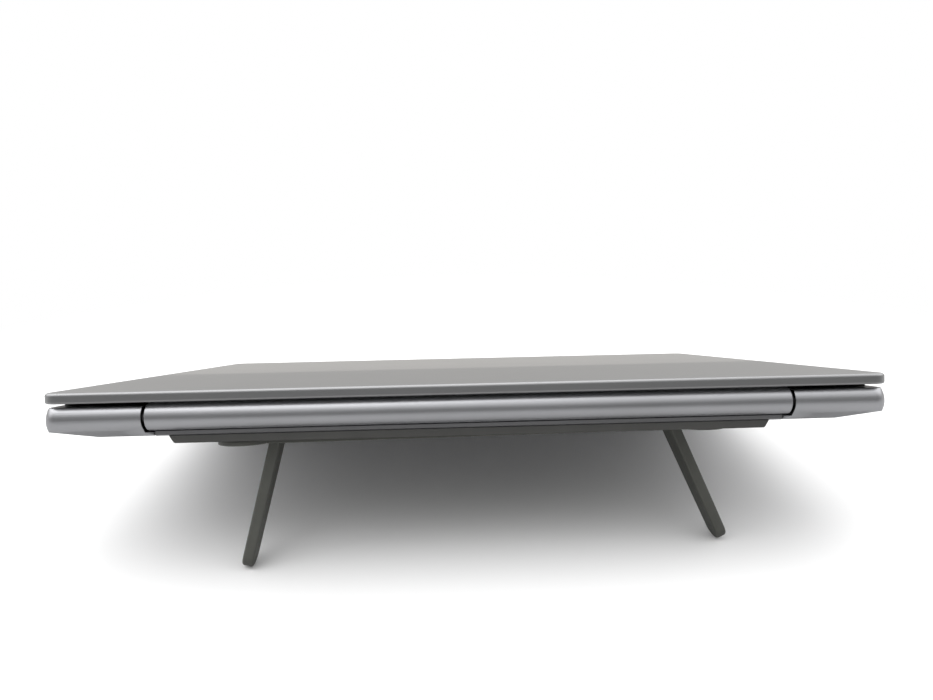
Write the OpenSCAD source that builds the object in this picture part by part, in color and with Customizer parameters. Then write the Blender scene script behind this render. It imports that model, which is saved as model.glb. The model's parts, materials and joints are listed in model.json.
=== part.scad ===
// Closed laptop computer, raised at the back on the two folding legs of a stick-on stand.
// Laptop frame: X to the user's right, Y from the front edge (-laptop_d) to the hinge edge (0),
// Z up from the underside. in_stance() tips that frame so that the legs and the front feet
// touch the floor at Z = 0.

/* [Overall] */
// Width of lid and base
laptop_w = 356; // [340:1:372]
// Depth from the front edge to the hinge edge
laptop_d = 252; // [244:1:262]
// Plan radius of the outer corners
corner_r = 7; // [5:0.5:10]
// Height of the keyboard deck over the underside
deck_z = 12.85; // [12.5:0.05:13.5]

/* [Lid] */
// Thickness of the lid at its edge
lid_t = 4.55; // [4.2:0.05:5]
// Space between deck and lid when closed
lid_gap = 1.7; // [1.4:0.05:2]
// Radius of the lid's upper edge
lid_edge_r = 1.3; // [0.8:0.1:1.5]
// Radius of the lid's lower edge
lid_under_r = 0.9; // [0.5:0.1:1.2]
// Thickness of the lid's outer skin over the panel
lid_skin_t = 1.1; // [0.9:0.1:1.3]
// Thickness of the display panel
panel_t = 1.7; // [1.4:0.1:1.9]
// Border between the lid's side edge and the panel
bezel_side = 5.5; // [5:0.5:8]
// Border between the lid's front edge and the panel
bezel_top = 8.5; // [8:0.5:12]
// Border between the hinge edge and the panel
bezel_chin = 24; // [22:0.5:30]

/* [Hinge barrel] */
// Radius of the hinge barrel
barrel_r = 6.05; // [5.8:0.05:6.2]
// Distance of each barrel end from the side
barrel_side = 42.75; // [38:0.25:46]
// Gap between each barrel end and the base
barrel_end_gap = 1.4; // [0.9:0.1:1.6]
// Radius of the hinge shafts
shaft_r = 1.9; // [1.5:0.1:2.2]
// Radial running clearance of the hinge shafts
shaft_clear = 0.05; // [0.02:0.01:0.09]
// Length of each shaft inside the barrel
shaft_in = 24; // [15:1:30]
// Length of each shaft inside its base bracket
shaft_out = 16; // [12:1:20]

/* [Base] */
// Width of the bevel under each side
side_bevel_w = 21.7; // [18:0.1:26]
// Height of the bevel under each side
side_bevel_h = 3.2; // [2.6:0.1:3.6]
// Rounding of the base's upper side edges
side_top_r = 1.8; // [1:0.1:2]
// Rounding between the sides and their bevels
side_low_r = 2.2; // [1:0.1:2.4]
// Depth of the bevel under the front edge
front_bevel_d = 9; // [7:0.5:11]
// Wall of the base at its sides
side_wall = 2.4; // [2:0.1:2.8]
// Thickness of the deck
deck_t = 1.4; // [1.2:0.1:1.6]
// Thickness of the bottom cover
cover_t = 1.45; // [1.2:0.05:1.5]
// Gap round the bottom cover
cover_gap = 0.25; // [0.15:0.05:0.35]
// Distance of the cover's rear lip from the hinge edge
lip_back = 4; // [3.8:0.1:4.4]
// How far the cover's rear lip stops short of each barrel end
lip_end = 2.7; // [1.2:0.05:5]
// Notch at each end of the rear lip
lip_notch = 0.8; // [0.6:0.1:1]

/* [Keyboard and touchpad] */
// Distance of the keys from each side
keyboard_side = 37.75; // [36:0.25:42]
// Key pitch front to back
row_pitch = 18.2; // [17.5:0.1:18.5]
// Depth of the function row
fn_pitch = 12.4; // [11:0.1:13]
// Gap between neighbouring keys
key_gap = 2.8; // [2.4:0.1:3.2]
// Height of a key cap
cap_h = 1.5; // [1.3:0.1:1.6]
// Key travel
key_travel = 1.2; // [1:0.1:1.4]
// Distance of the keyboard well from the hinge edge
well_back = 34; // [32:0.5:38]
// Width of the touchpad
pad_w = 132; // [110:1:140]
// Distance between the keyboard well and the touchpad
pad_back_gap = 19.6; // [15:0.1:26]
// Gap round the touchpad
pad_gap = 0.4; // [0.3:0.05:0.5]
// Distance of the touchpad from the front edge
pad_front = 10; // [9:0.5:12]

/* [Feet] */
// Thickness of the front feet
foot_t = 1.4; // [1.2:0.1:1.8]
// Length of each front foot
foot_len = 56; // [40:1:60]
// Distance of each front foot's outer end from the side
foot_side = 38; // [30:1:60]
// Distance of the front feet from the front edge
foot_inset = 10; // [9.5:0.5:14]
// Depth of the front feet
foot_d = 10; // [8:0.5:12]
// Height of the rear foot strip
strip_h = 3.2; // [2.8:0.1:3.3]
// How far the strip's top stops short of each end of the cover's lip
strip_end = 5.5; // [3:0.1:10]
// How far the strip's ends slope in
strip_slope = 1.9; // [1:0.1:4]
// Rounding of the strip's lower ends
strip_end_r = 1.4; // [0.6:0.1:1.5]
// Depth of the rear foot strip
strip_d = 5.9; // [5:0.1:6]

/* [Stand] */
// Turn of the stand about the vertical, as stuck on
stand_yaw = 2.8; // [0:0.1:2.9]
// Shift of the stand to the side
stand_shift = -3.5; // [-5:0.1:5]
// Distance of the stand's rear edge from the hinge edge
stand_back = 15.7; // [15.5:0.1:18]
// Depth of the stand plate
stand_d = 46; // [40:1:60]
// Thickness of the adhesive pad
pad_t = 0.8; // [0.6:0.1:1]
// Underside of the stand plate, below the laptop
stand_low = 5.55; // [5.5:0.05:6]
// Radius of the rounded lobes at the ends of the plate
lobe_r = 12; // [10:0.1:12.5]
// Distance of each lobe's centre from the middle of the stand
lobe_x = 102.2; // [99:0.1:106]
// How far the lobes stand out behind the plate
lobe_out = 5.2; // [3:0.1:5.5]
// Thickness of the lobes
lobe_t = 2; // [1.5:0.05:2.05]
// Distance of each leg's pivot from the middle of the stand
leg_x = 88.8; // [84:0.1:90]
// Length of a leg from pivot to tip
leg_len = 59.6; // [54:0.1:62]
// Thickness of a leg
leg_t = 4.8; // [4.2:0.1:4.9]
// Depth of a leg at its pivot
leg_top_d = 13.6; // [12:0.1:14]
// Depth of a leg at its tip
leg_tip_d = 11; // [8:0.5:12]
// Rounding of a leg's long edges
leg_edge_r = 1; // [0.6:0.1:1.2]
// Wall of the plate behind each leg
leg_wall = 1.8; // [1.5:0.1:3]
// Splay of the right leg
splay_right = 14.6; // [12:0.1:28]
// Splay of the left leg
splay_left = 23.8; // [12:0.1:28]
// Largest splay that the plate allows
splay_stop = 30; // [28:0.5:31]
// Radius of the leg pins
leg_pin_r = 1.1; // [0.9:0.05:1.2]
// Radial running clearance of the leg pins
leg_pin_clear = 0.04; // [0.02:0.01:0.09]

/* [Hidden] */
$fn = 48;

grey_metal = [0.62, 0.62, 0.64];
dark_metal = [0.36, 0.37, 0.34];
black_part = [0.08, 0.08, 0.09];
steel_part = [0.7, 0.7, 0.72];
board_green = [0.08, 0.25, 0.16];
copper_part = [0.72, 0.45, 0.28];

// Lid
lid_z = deck_z + lid_gap;
lid_top = lid_z + lid_t;
lid_rim = 2.2;
bezel_t = 0.8;
fit_gap = 0.05;
pocket_back = 15;
// How far the panel reaches under the bezel
panel_lap = 2;
panel_z = lid_z + bezel_t + 2 * fit_gap;

// Hinge
barrel_seam = 0.4;
// Neck that joins the barrel to the lid, hidden over it
neck_end = 2;
neck_d = 3;
neck_back = 1.2;
hinge_y = -barrel_r;
hinge_z = lid_z - barrel_seam - barrel_r;
barrel_len = laptop_w - 2 * barrel_side;
notch_half = barrel_len / 2 + barrel_end_gap;
notch_back = 2 * barrel_r + 0.5;
rear_wall = 1.6;
// Underside's rear edge beside the barrel, and the chamfer along it
wing_back = 4.6;
rear_chamfer = 0.6;
// Clearance under the barrel, and how far the lip's edge rises behind it
lip_clear = 0.3;
lip_rise = 0.3;
knuckle_r = 4.2;
knuckle_gap = 0.3;
bracket_arm_t = 2;
bracket_arm_w = 15;
bracket_arm_d = 54;
bracket_screw_y = [-32, -50];
// Distance of the bracket's screws from its outer edge
bracket_screw_in = 4;
bracket_screw_x = notch_half + knuckle_gap + bracket_arm_w - bracket_screw_in;
screw_hole_r = 1.1;
boss_r = 2.6;

// Base cavity and bottom cover
case_half = laptop_w / 2 - side_wall;
cover_half = laptop_w / 2 - side_bevel_w - 1.5;
cover_front = laptop_d - front_bevel_d - 1.5;
cover_back = notch_back + rear_wall + 2;
lip_half_w = barrel_len / 2 - lip_end;
ledge = 2;
inner_low = cover_t + 0.2;
ledge_top = side_bevel_h + 1.3;
ceiling = deck_z - deck_t;

// Keyboard: widths of the keys in each row, in units of the key pitch
function sum_of(values, i = 0) = i == len(values) ? 0 : values[i] + sum_of(values, i + 1);
number_keys = [1, 1, 1, 1, 1, 1, 1, 1, 1, 1, 1, 1, 1, 2];
upper_keys = [1.5, 1, 1, 1, 1, 1, 1, 1, 1, 1, 1, 1, 1, 1.5];
home_keys = [1.8, 1, 1, 1, 1, 1, 1, 1, 1, 1, 1, 1, 2.2];
lower_keys = [2.3, 1, 1, 1, 1, 1, 1, 1, 1, 1, 1, 2.7];
left_keys = [1.2, 1, 1, 1.2];
space_units = 5.6;
right_keys = [1, 1];
left_units = sum_of(left_keys);
right_start = left_units + space_units;
arrow_start = right_start + sum_of(right_keys);
board_units = sum_of(number_keys);
key_pitch = (laptop_w - 2 * keyboard_side) / board_units;
well_rim = 1;
well_half = board_units * key_pitch / 2 + well_rim;
well_front = well_back + 5 * row_pitch + fn_pitch + 2 * well_rim;
plate_t = 0.6;
// The tray lies just over the hinge brackets
plate_z = hinge_z + bracket_arm_t / 2 + 0.1;
cap_top = deck_z - 0.1;
cap_low = cap_top - cap_h;
post_r = 1.1;
post_clear = 0.15;
post_top = cap_top - 0.4 - key_travel - 0.05;
socket_top = cap_top - 0.4;
key_r = 1.2;

// Touchpad
pad_thick = 1.25;
pad_top = deck_z - 0.05;
pad_hinge_y = -(well_front + pad_back_gap);
pad_d = laptop_d - pad_front + pad_hinge_y;

// Inside the base
// The fans and speakers keep their distance from the sides
fan_inset = 75.6;
fan_x = case_half - fan_inset;
fan_y = -52;
fan_r = 24;
fan_wall = 1.2;
// Room round the fan's blades
fan_room = 1.6;
fan_low = 1.8;
fan_top = 7.4;
fan_shaft_r = 1.2;
fan_shaft_clear = 0.05;
board_t = 1;
board_low = ledge_top + 0.15;
board_top = board_low + board_t;
board_side_gap = 5;
board_fan_gap = 7.2;
board_rear_half = fan_x - fan_r - fan_room - fan_wall - board_fan_gap;
board_front_half = case_half - board_side_gap;
board_y = [-28, -84, -147];
chip_t = 1;
cold_plate_t = 0.9;
pipe_t = 1.3;
pipe_w = 6;
pipe_in = 4;
pipe_z = board_top + chip_t + cold_plate_t;
sink_y = [-15.6, -24.6];
sink_w = 58;
sink_low = 2;
core_y = -55;
core_x = [-26, 24];
core_size = [26, 22];
cold_plate_size = [32, 30];
tray_rim = 3;
// Screw bosses of the board, outside the keyboard tray
boss_gap = 3.15;
board_boss_x = well_half + tray_rim + boss_r + boss_gap;
board_boss_y = [-90, -142];

// Bottom cover's screws
screw_r = 1.4;
screw_head_r = 2.3;
screw_head_t = 0.8;
screw_clear = 0.1;
screw_inset = 7.5;
screw_fan_gap = 38;
cover_screw_x = [for (side = [-1, 1], x = [cover_half - screw_inset, fan_x - screw_fan_gap]) side * x];
cover_screw_y = [-cover_back - screw_inset, -(cover_back + cover_front) / 2, screw_inset - cover_front];

// Speakers and battery, between the board and the front of the cover
speaker_w = 16.8;
speaker_t = 7;
speaker_side_gap = 0.7;
speaker_out = cover_half - ledge - speaker_side_gap;
speaker_y = [ledge + 3.5 - cover_front, board_y[2] - 19];
speaker_mid_y = (speaker_y[0] + speaker_y[1]) / 2;
cells = 4;
cell_gap = 2;
cell_t = 6.4;
cell_r = 2.5;
cell_edge_r = 1.2;
battery_half = speaker_out - speaker_w - 6;
battery_y = [8 - cover_front, board_y[2] - 11];
battery_frame_t = 1.2;
inner_clear = 0.25;

// Cards on the board: plan corner, plan size, height of their underside over the board
card_t = 0.9;
socket_d = 5;
socket_h = 3;
card_lift = 1.4;
card_chip_t = 0.8;
memory_x = [40, 78];
memory_y = -140;
memory_size = [30, 48];
ssd_corner = [-62, -124];
ssd_size = [80, 22];
wireless_corner = [-104, -120];
wireless_size = [22, 24];

// Ports, by their place along the side
usb_c_y = [-94, -108];
hdmi_y = -127;
usb_a_y = -96;
jack_y = -113;
card_y = -131;
jack_r = 1.8;
jack_len = 13;
port_floor = board_top;

// Feet and legs
strip_back = lip_back + 0.2;
strip_half_w = lip_half_w - strip_end;
foot_x = laptop_w / 2 - foot_side - foot_len / 2;
foot_edge_y = -(laptop_d - foot_inset);
// The folded legs stand a little proud of the plate
leg_proud = 0.15;
leg_z = leg_t / 2 - stand_low - leg_proud;
leg_rear_y = -leg_wall;
leg_mid_y = leg_rear_y - leg_top_d / 2;
tip_round = leg_tip_d / 2;
pocket_gap = 0.35;
pocket_end = 1.5;
pocket_out = (leg_t / 2) * (tan(splay_stop) + 1 / cos(splay_stop)) + pocket_gap;

// Stance: the front feet and the leg tips touch the floor
// Reach of a leg's rounded tip from its centre, in the direction of the floor
function tip_reach(splay, tilt) =
    (tip_round - leg_edge_r) * sqrt(pow(cos(tilt) * cos(splay), 2) + pow(sin(tilt), 2))
    + (leg_t / 2 - leg_edge_r) * cos(tilt) * sin(splay) + leg_edge_r;
// Centre of a leg's tip in the laptop frame; side is 1 on the right
function tip_centre(side, splay) =
    let (out = leg_x + (leg_len - tip_round) * sin(splay),
         x = side * out,
         y = leg_mid_y)
    [stand_shift + x * cos(stand_yaw) - y * sin(stand_yaw),
     -stand_back + x * sin(stand_yaw) + y * cos(stand_yaw),
     leg_z - (leg_len - tip_round) * cos(splay)];
function leg_tilt(side, splay, tilt) =
    let (c = tip_centre(side, splay),
         run = c[1] - foot_edge_y,
         drop = -foot_t - c[2])
    atan2(drop, run) + asin(tip_reach(splay, tilt) / sqrt(run * run + drop * drop));
function mean_tilt(tilt) =
    (leg_tilt(1, splay_right, tilt) + leg_tilt(-1, splay_left, tilt)) / 2;
tilt = mean_tilt(mean_tilt(mean_tilt(15)));
stance_z = -foot_edge_y * sin(tilt) + foot_t * cos(tilt);

// Where the outermost points fall, front and back, so that the origin lies under the middle
front_reach = laptop_d * cos(tilt) + lid_z * sin(tilt) + lid_under_r;
rear_tip = tip_centre(1, splay_right);
rear_reach = rear_tip[1] * cos(tilt) - rear_tip[2] * sin(tilt) + tip_round;
stance_y = (front_reach - rear_reach) / 2;

// Frames

// Laptop frame to the floor
module in_stance() {
    translate([0, stance_y, stance_z])
        rotate([tilt, 0, 0])
            children();
}

// Stand frame: origin on the plate's rear edge, under the laptop
module on_stand() {
    in_stance()
        translate([stand_shift, -stand_back, 0])
            rotate([0, 0, stand_yaw])
                children();
}

module mirrored() {
    children();
    mirror([1, 0, 0])
        children();
}

// Shared shapes

// Box given by its lowest and highest corners
module block(low, high) {
    translate(low)
        cube(high - low);
}

// Upright plate of rounded-rectangle plan
module rounded_plate(x, y, z, r) {
    translate([0, 0, z[0]])
        linear_extrude(z[1] - z[0])
            rounded_outline(x, y, r);
}

module rounded_outline(x, y, r) {
    translate([x[0] + r, y[0]])
        square([x[1] - x[0] - 2 * r, y[1] - y[0]]);
    translate([x[0], y[0] + r])
        square([x[1] - x[0], y[1] - y[0] - 2 * r]);
    for (cx = [x[0] + r, x[1] - r], cy = [y[0] + r, y[1] - r])
        translate([cx, cy])
            circle(r);
}

// Half section of a slab whose rim is rounded above and below
module rim_section(reach, t, upper_r, lower_r) {
    square([reach - max(upper_r, lower_r), t]);
    translate([0, lower_r])
        square([reach, t - upper_r - lower_r]);
    square([reach - lower_r, t / 2]);
    translate([0, t / 2])
        square([reach - upper_r, t / 2]);
    translate([reach - lower_r, lower_r])
        circle(lower_r);
    translate([reach - upper_r, t - upper_r])
        circle(upper_r);
}

// Slab with rounded plan corners and a rounded rim
module soft_slab(w, d, t, r, upper_r, lower_r) {
    long = w / 2 - r;
    deep = d / 2 - r;
    block([-long, -deep, 0], [long, deep, t]);
    for (turn = [0, 180])
        rotate([0, 0, turn]) {
            translate([long, deep, 0])
                rotate([90, 0, 0])
                    linear_extrude(2 * deep)
                        rim_section(r, t, upper_r, lower_r);
            translate([-long, deep, 0])
                rotate([90, 0, 90])
                    linear_extrude(2 * long)
                        rim_section(r, t, upper_r, lower_r);
            translate([long, deep, 0])
                rotate_extrude(angle = 90)
                    rim_section(r, t, upper_r, lower_r);
            translate([-long, deep, 0])
                rotate([0, 0, 90])
                    rotate_extrude(angle = 90)
                        rim_section(r, t, upper_r, lower_r);
        }
}

// Cylinder along X from x0 to x1
module rod_x(x0, x1, r) {
    translate([x0, 0, 0])
        rotate([0, 90, 0])
            cylinder(h = x1 - x0, r = r);
}

// Lid

module lid_cover() {
    color(grey_metal)
        in_stance()
            difference() {
                translate([0, -laptop_d / 2, lid_z])
                    soft_slab(laptop_w, laptop_d, lid_t, corner_r, lid_edge_r, lid_under_r);
                rounded_plate([lid_rim - laptop_w / 2, laptop_w / 2 - lid_rim],
                              [lid_rim - laptop_d, -pocket_back],
                              [lid_z - 1, lid_top - lid_skin_t], corner_r - lid_rim);
            }
}

module display_panel() {
    color([0.05, 0.05, 0.06])
        in_stance()
            block([bezel_side - panel_lap - laptop_w / 2, bezel_top - panel_lap - laptop_d, panel_z],
                  [laptop_w / 2 - bezel_side + panel_lap, panel_lap - bezel_chin, panel_z + panel_t]);
}

lens_r = 1.6;
camera_half_w = 16;
camera_t = 1.4;
// The camera board lies between the lid's rim and the panel's border
camera_front = lid_rim + 2 * fit_gap;
camera_back = bezel_top - panel_lap - 2 * fit_gap;
camera_y = (camera_front + camera_back) / 2 - laptop_d;

module display_bezel() {
    edge = lid_rim + fit_gap;
    color(black_part)
        in_stance()
            difference() {
                rounded_plate([edge - laptop_w / 2, laptop_w / 2 - edge],
                              [edge - laptop_d, -pocket_back - fit_gap],
                              [lid_z + fit_gap, lid_z + fit_gap + bezel_t], corner_r - edge);
                block([bezel_side - laptop_w / 2, bezel_top - laptop_d, lid_z - 1],
                      [laptop_w / 2 - bezel_side, -bezel_chin, lid_z + 3]);
                translate([0, camera_y, lid_z - 1])
                    cylinder(h = 4, r = lens_r + 0.1);
            }
}

// Rubber gasket round the display, which steps round the hinge barrel
seal_w = 4;
seal_inset = 5.4;
seal_half = laptop_w / 2 - seal_inset;
// Far enough from the hinge axis to swing clear of the base's rolled edge
seal_back = barrel_r + 3.8;
seal_front = 5.6;
seal_clear = 0.15;
// Gap between the gasket's step and the barrel's notch
seal_notch_gap = 0.8;

module display_seal() {
    inner_half = notch_half + seal_notch_gap;
    mid_back = notch_back + seal_notch_gap;
    low = deck_z + seal_clear;
    color(black_part)
        in_stance()
            mirrored() {
                block([seal_half - seal_w, seal_front - laptop_d, low], [seal_half, -seal_back, lid_z]);
                block([-fit_gap, seal_front - laptop_d, low],
                      [seal_half, seal_front - laptop_d + seal_w, lid_z]);
                block([inner_half, -seal_back - seal_w, low], [seal_half, -seal_back, lid_z]);
                block([inner_half, -mid_back - seal_w, low], [inner_half + seal_w, -seal_back, lid_z]);
                block([-fit_gap, -mid_back - seal_w, low], [inner_half + seal_w, -mid_back, lid_z]);
            }
}

module camera_module() {
    color([0.1, 0.1, 0.12])
        in_stance() {
            block([-camera_half_w, camera_front - laptop_d, panel_z],
                  [camera_half_w, camera_back - laptop_d, panel_z + camera_t]);
            translate([0, camera_y, lid_z + 2 * fit_gap])
                cylinder(h = panel_z - lid_z + camera_t / 2, r = lens_r);
        }
}

// Hinges

module hinge_barrel() {
    color(grey_metal)
        in_stance()
            difference() {
                union() {
                    translate([0, hinge_y, hinge_z])
                        rod_x(-barrel_len / 2, barrel_len / 2, barrel_r);
                    block([neck_end - barrel_len / 2, hinge_y - neck_d, hinge_z],
                          [barrel_len / 2 - neck_end, hinge_y + neck_back, lid_z]);
                }
                translate([0, hinge_y, hinge_z])
                    mirrored()
                        rod_x(barrel_len / 2 - shaft_in, barrel_len / 2 + 1, shaft_r + 0.01);
            }
}

module hinge_shafts() {
    color(steel_part)
        in_stance()
            translate([0, hinge_y, hinge_z])
                mirrored()
                    rod_x(barrel_len / 2 - shaft_in, notch_half + knuckle_gap + shaft_out, shaft_r);
}

// Friction knuckle and the arm that carries it under the deck; side is 1 on the right
module hinge_bracket(side) {
    start = notch_half + knuckle_gap;
    color(steel_part)
        in_stance()
                mirror([side < 0 ? 1 : 0, 0, 0])
                    difference() {
                        union() {
                            translate([0, hinge_y, hinge_z])
                                rod_x(start, start + shaft_out + 1.5, knuckle_r);
                            block([start, hinge_y - bracket_arm_d, hinge_z - bracket_arm_t / 2],
                                  [start + bracket_arm_w, hinge_y, hinge_z + bracket_arm_t / 2]);
                        }
                        translate([0, hinge_y, hinge_z])
                            rod_x(start - 1, start + shaft_out + 0.3, shaft_r + shaft_clear);
                        for (y = bracket_screw_y)
                            translate([bracket_screw_x, y, hinge_z - bracket_arm_t])
                                cylinder(h = 2 * bracket_arm_t, r = screw_hole_r);
                    }
}

module hinge_bracket_left() {
    hinge_bracket(-1);
}

module hinge_bracket_right() {
    hinge_bracket(1);
}

// Base

// Outline of the base seen from the front, bevelled under both sides
module base_front_outline() {
    bevel = atan2(side_bevel_h, side_bevel_w);
    half = laptop_w / 2;
    low_z = side_bevel_h + side_low_r * (1 - sin(bevel)) / cos(bevel);
    for (side = [-1, 1])
        scale([side, 1]) {
            polygon([[0, 0], [half - side_bevel_w, 0],
                     [half - side_low_r * (1 - sin(bevel)), low_z - side_low_r * cos(bevel)],
                     [half, low_z], [half, deck_z - side_top_r], [half - side_top_r, deck_z], [0, deck_z]]);
            translate([half - side_low_r, low_z])
                circle(side_low_r);
            translate([half - side_top_r, deck_z - side_top_r])
                circle(side_top_r);
        }
}

// Outline of the base seen from the side: bevelled front, rear edge rolled like the barrel
module base_side_outline() {
    polygon([[-laptop_d, side_bevel_h], [front_bevel_d - laptop_d, 0], [-wing_back - rear_chamfer, 0],
             [-wing_back, rear_chamfer], [hinge_y + barrel_r * cos(40), hinge_z - barrel_r * sin(40)],
             [hinge_y, hinge_z], [hinge_y, deck_z], [-laptop_d, deck_z]]);
    intersection() {
        translate([hinge_y, hinge_z])
            circle(barrel_r);
        translate([hinge_y - barrel_r, 0])
            square([2 * barrel_r, deck_z]);
    }
}

module base_solid() {
    intersection() {
        translate([0, 1, 0])
            rotate([90, 0, 0])
                linear_extrude(laptop_d + 2)
                    base_front_outline();
        translate([-laptop_w, 0, 0])
            rotate([90, 0, 90])
                linear_extrude(2 * laptop_w)
                    base_side_outline();
        rounded_plate([-laptop_w / 2, laptop_w / 2], [-laptop_d, 0], [-1, deck_z + 1], corner_r);
    }
}

// Notch for the barrel, and under it the narrower notch for the cover's lip
module barrel_notch() {
    block([-notch_half, -notch_back, inner_low], [notch_half, 1, deck_z + 1]);
    block([-lip_half_w - lip_notch, -cover_back - 1, -1], [lip_half_w + lip_notch, 1, inner_low + 0.01]);
}

// Corner radii of the bottom cover's seat and of the touchpad's opening
cover_r = 3;
pad_r = 3;

// Seat of the bottom cover and the hollow above it
module base_hollow() {
    rounded_plate([-cover_half - cover_gap, cover_half + cover_gap],
                  [-cover_front - cover_gap, -cover_back + cover_gap], [-1, inner_low], cover_r);
    rounded_plate([ledge - cover_half, cover_half - ledge],
                  [ledge - cover_front, -notch_back - rear_wall], [-1, ledge_top + 1], 2);
    rounded_plate([-case_half, case_half], [side_wall - laptop_d, -notch_back - rear_wall],
                  [ledge_top, ceiling], 4);
}

// Room round the hinge knuckle, past its end and beside its arm
knuckle_relief = 0.3;
knuckle_past = 3;
bracket_room = 0.4;

module knuckle_room() {
    start = notch_half - 1;
    arm_start = notch_half + knuckle_gap;
    arm_low = hinge_z - bracket_arm_t / 2;
    mirrored() {
        translate([0, hinge_y, hinge_z])
            rod_x(start, notch_half + shaft_out + knuckle_past, knuckle_r + knuckle_relief);
        block([arm_start - bracket_room, -notch_back - rear_wall - 1, arm_low - knuckle_relief],
              [arm_start + bracket_arm_w + bracket_room, hinge_y, arm_low + bracket_arm_t + knuckle_relief]);
    }
}

rear_slots_n = 9;
rear_slot_rib = 1.6;
rear_slot_low = 2.9;
rear_slot_h = 3.6;

// Slots in the rear wall that let the heat sinks blow out behind the barrel
module rear_slots() {
    pitch = sink_w / rear_slots_n;
    mirrored()
        for (i = [0:rear_slots_n - 1])
            translate([fan_x - sink_w / 2 + i * pitch, -notch_back - rear_wall, rear_slot_low])
                translate([rear_slot_rib / 2, -1, 0])
                    cube([pitch - rear_slot_rib, rear_wall + 2, rear_slot_h]);
}

// Openings in the side walls for the ports
module port_cuts() {
    for (y = usb_c_y)
        side_cut(-1, y, usb_c_size, usb_c_size[1] / 2);
    side_cut(-1, hdmi_y, hdmi_size, 1.2);
    side_cut(1, usb_a_y, usb_a_size, 0.8);
    side_cut(1, card_y, card_size, 0.8);
    translate([0, jack_y, jack_z])
        rod_x(case_half - 1, laptop_w / 2 + 1, jack_nose_r + 0.15);
}

// One rounded opening through a side wall, round a port of the given width and height
module side_cut(side, y, size, r) {
    grow = 0.15;
    mid = port_floor + size[1] / 2;
    translate([side * (case_half + side_wall / 2), y, mid])
        rotate([90, 0, 90])
            translate([0, 0, -side_wall])
                linear_extrude(2 * side_wall)
                    rounded_outline([-size[0] / 2 - grow, size[0] / 2 + grow],
                                    [-size[1] / 2 - grow, size[1] / 2 + grow], r);
}

module case_bosses() {
    mirrored() {
        for (y = bracket_screw_y)
            translate([bracket_screw_x, y, hinge_z + bracket_arm_t / 2])
                cylinder(h = ceiling - hinge_z - bracket_arm_t / 2 + 0.5, r = boss_r);
        for (y = board_boss_y)
            translate([board_boss_x, y, board_top])
                cylinder(h = ceiling - board_top + 0.5, r = boss_r);
    }
}

module top_case() {
    color(grey_metal)
        in_stance() {
            difference() {
                base_solid();
                barrel_notch();
                base_hollow();
                knuckle_room();
                rear_slots();
                port_cuts();
                rounded_plate([-well_half, well_half], [-well_front, -well_back],
                              [ceiling - 1, deck_z + 1], 2);
                rounded_plate([-pad_w / 2 - pad_gap, pad_w / 2 + pad_gap],
                              [pad_hinge_y - pad_d - pad_gap, pad_hinge_y + pad_gap],
                              [ceiling - 1, deck_z + 1], pad_r);
            }
            case_bosses();
        }
}

vent_rows = 7;
vent_slots = 9;
vent_pitch = 5.4;
vent_w = 1.6;
sound_slots = 12;
sound_pitch = 5;
sound_w = speaker_w - 6;

// Places of the screws that hold the bottom cover
module at_cover_screws() {
    for (x = cover_screw_x, y = cover_screw_y)
        translate([x, y, 0])
            children();
}

// How far the lip runs onto the cover, and the depth of the rise at its edge
lip_lap = 5;
lip_rise_d = 1.4;

// Section of the cover's rear lip, which follows the barrel's underside
module lip_outline() {
    top = hinge_z - barrel_r - lip_clear;
    front = -cover_back - lip_lap;
    polygon([[front, 0], [-lip_back - rear_chamfer, 0], [-lip_back, rear_chamfer],
             [-lip_back, top + lip_rise], [-lip_back - lip_rise_d, top], [lip_clear - notch_back, top],
             [lip_clear - notch_back, cover_t], [front, cover_t]]);
}

// Cover with a rear lip, intake slots under the fans and slots under the speakers
module bottom_cover() {
    slot_pitch = 2 * fan_r / vent_rows;
    color(grey_metal * 0.92)
        in_stance()
            difference() {
                union() {
                    rounded_plate([-cover_half, cover_half], [-cover_front, -cover_back],
                                  [0, cover_t], cover_r - cover_gap);
                    translate([-lip_half_w, 0, 0])
                        rotate([90, 0, 90])
                            linear_extrude(2 * lip_half_w)
                                lip_outline();
                }
                mirrored() {
                    for (row = [0:vent_rows - 1], i = [0:vent_slots - 1])
                        translate([fan_x + (i - (vent_slots - 1) / 2) * vent_pitch,
                                   fan_y + (row - (vent_rows - 1) / 2) * slot_pitch, cover_t / 2])
                            cube([vent_w, slot_pitch - vent_w, cover_t * 3], center = true);
                    for (i = [0:sound_slots - 1])
                        translate([speaker_out - speaker_w / 2,
                                   speaker_mid_y + (i - (sound_slots - 1) / 2) * sound_pitch, cover_t / 2])
                            cube([sound_w, vent_w, cover_t * 3], center = true);
                }
                at_cover_screws()
                    translate([0, 0, -1])
                        cylinder(h = cover_t + 2, r = screw_r + screw_clear);
                at_cover_screws()
                    translate([0, 0, -1])
                        cylinder(h = screw_head_t + 0.9, r = screw_head_r + screw_clear);
            }
}

module bottom_screws() {
    color([0.2, 0.2, 0.22])
        in_stance()
            at_cover_screws() {
                translate([0, 0, 0.05])
                    cylinder(h = screw_head_t - 0.2, r = screw_head_r);
                translate([0, 0, 0.05])
                    cylinder(h = cover_t + 0.1, r = screw_r);
            }
}

// Two rubber strips under the front edge
module front_feet() {
    color(black_part)
        in_stance()
            mirrored()
                translate([foot_x, foot_edge_y + foot_d / 2, -foot_t])
                    soft_slab(foot_len, foot_d, foot_t, 3, 0.3, 0.35);
}

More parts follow.
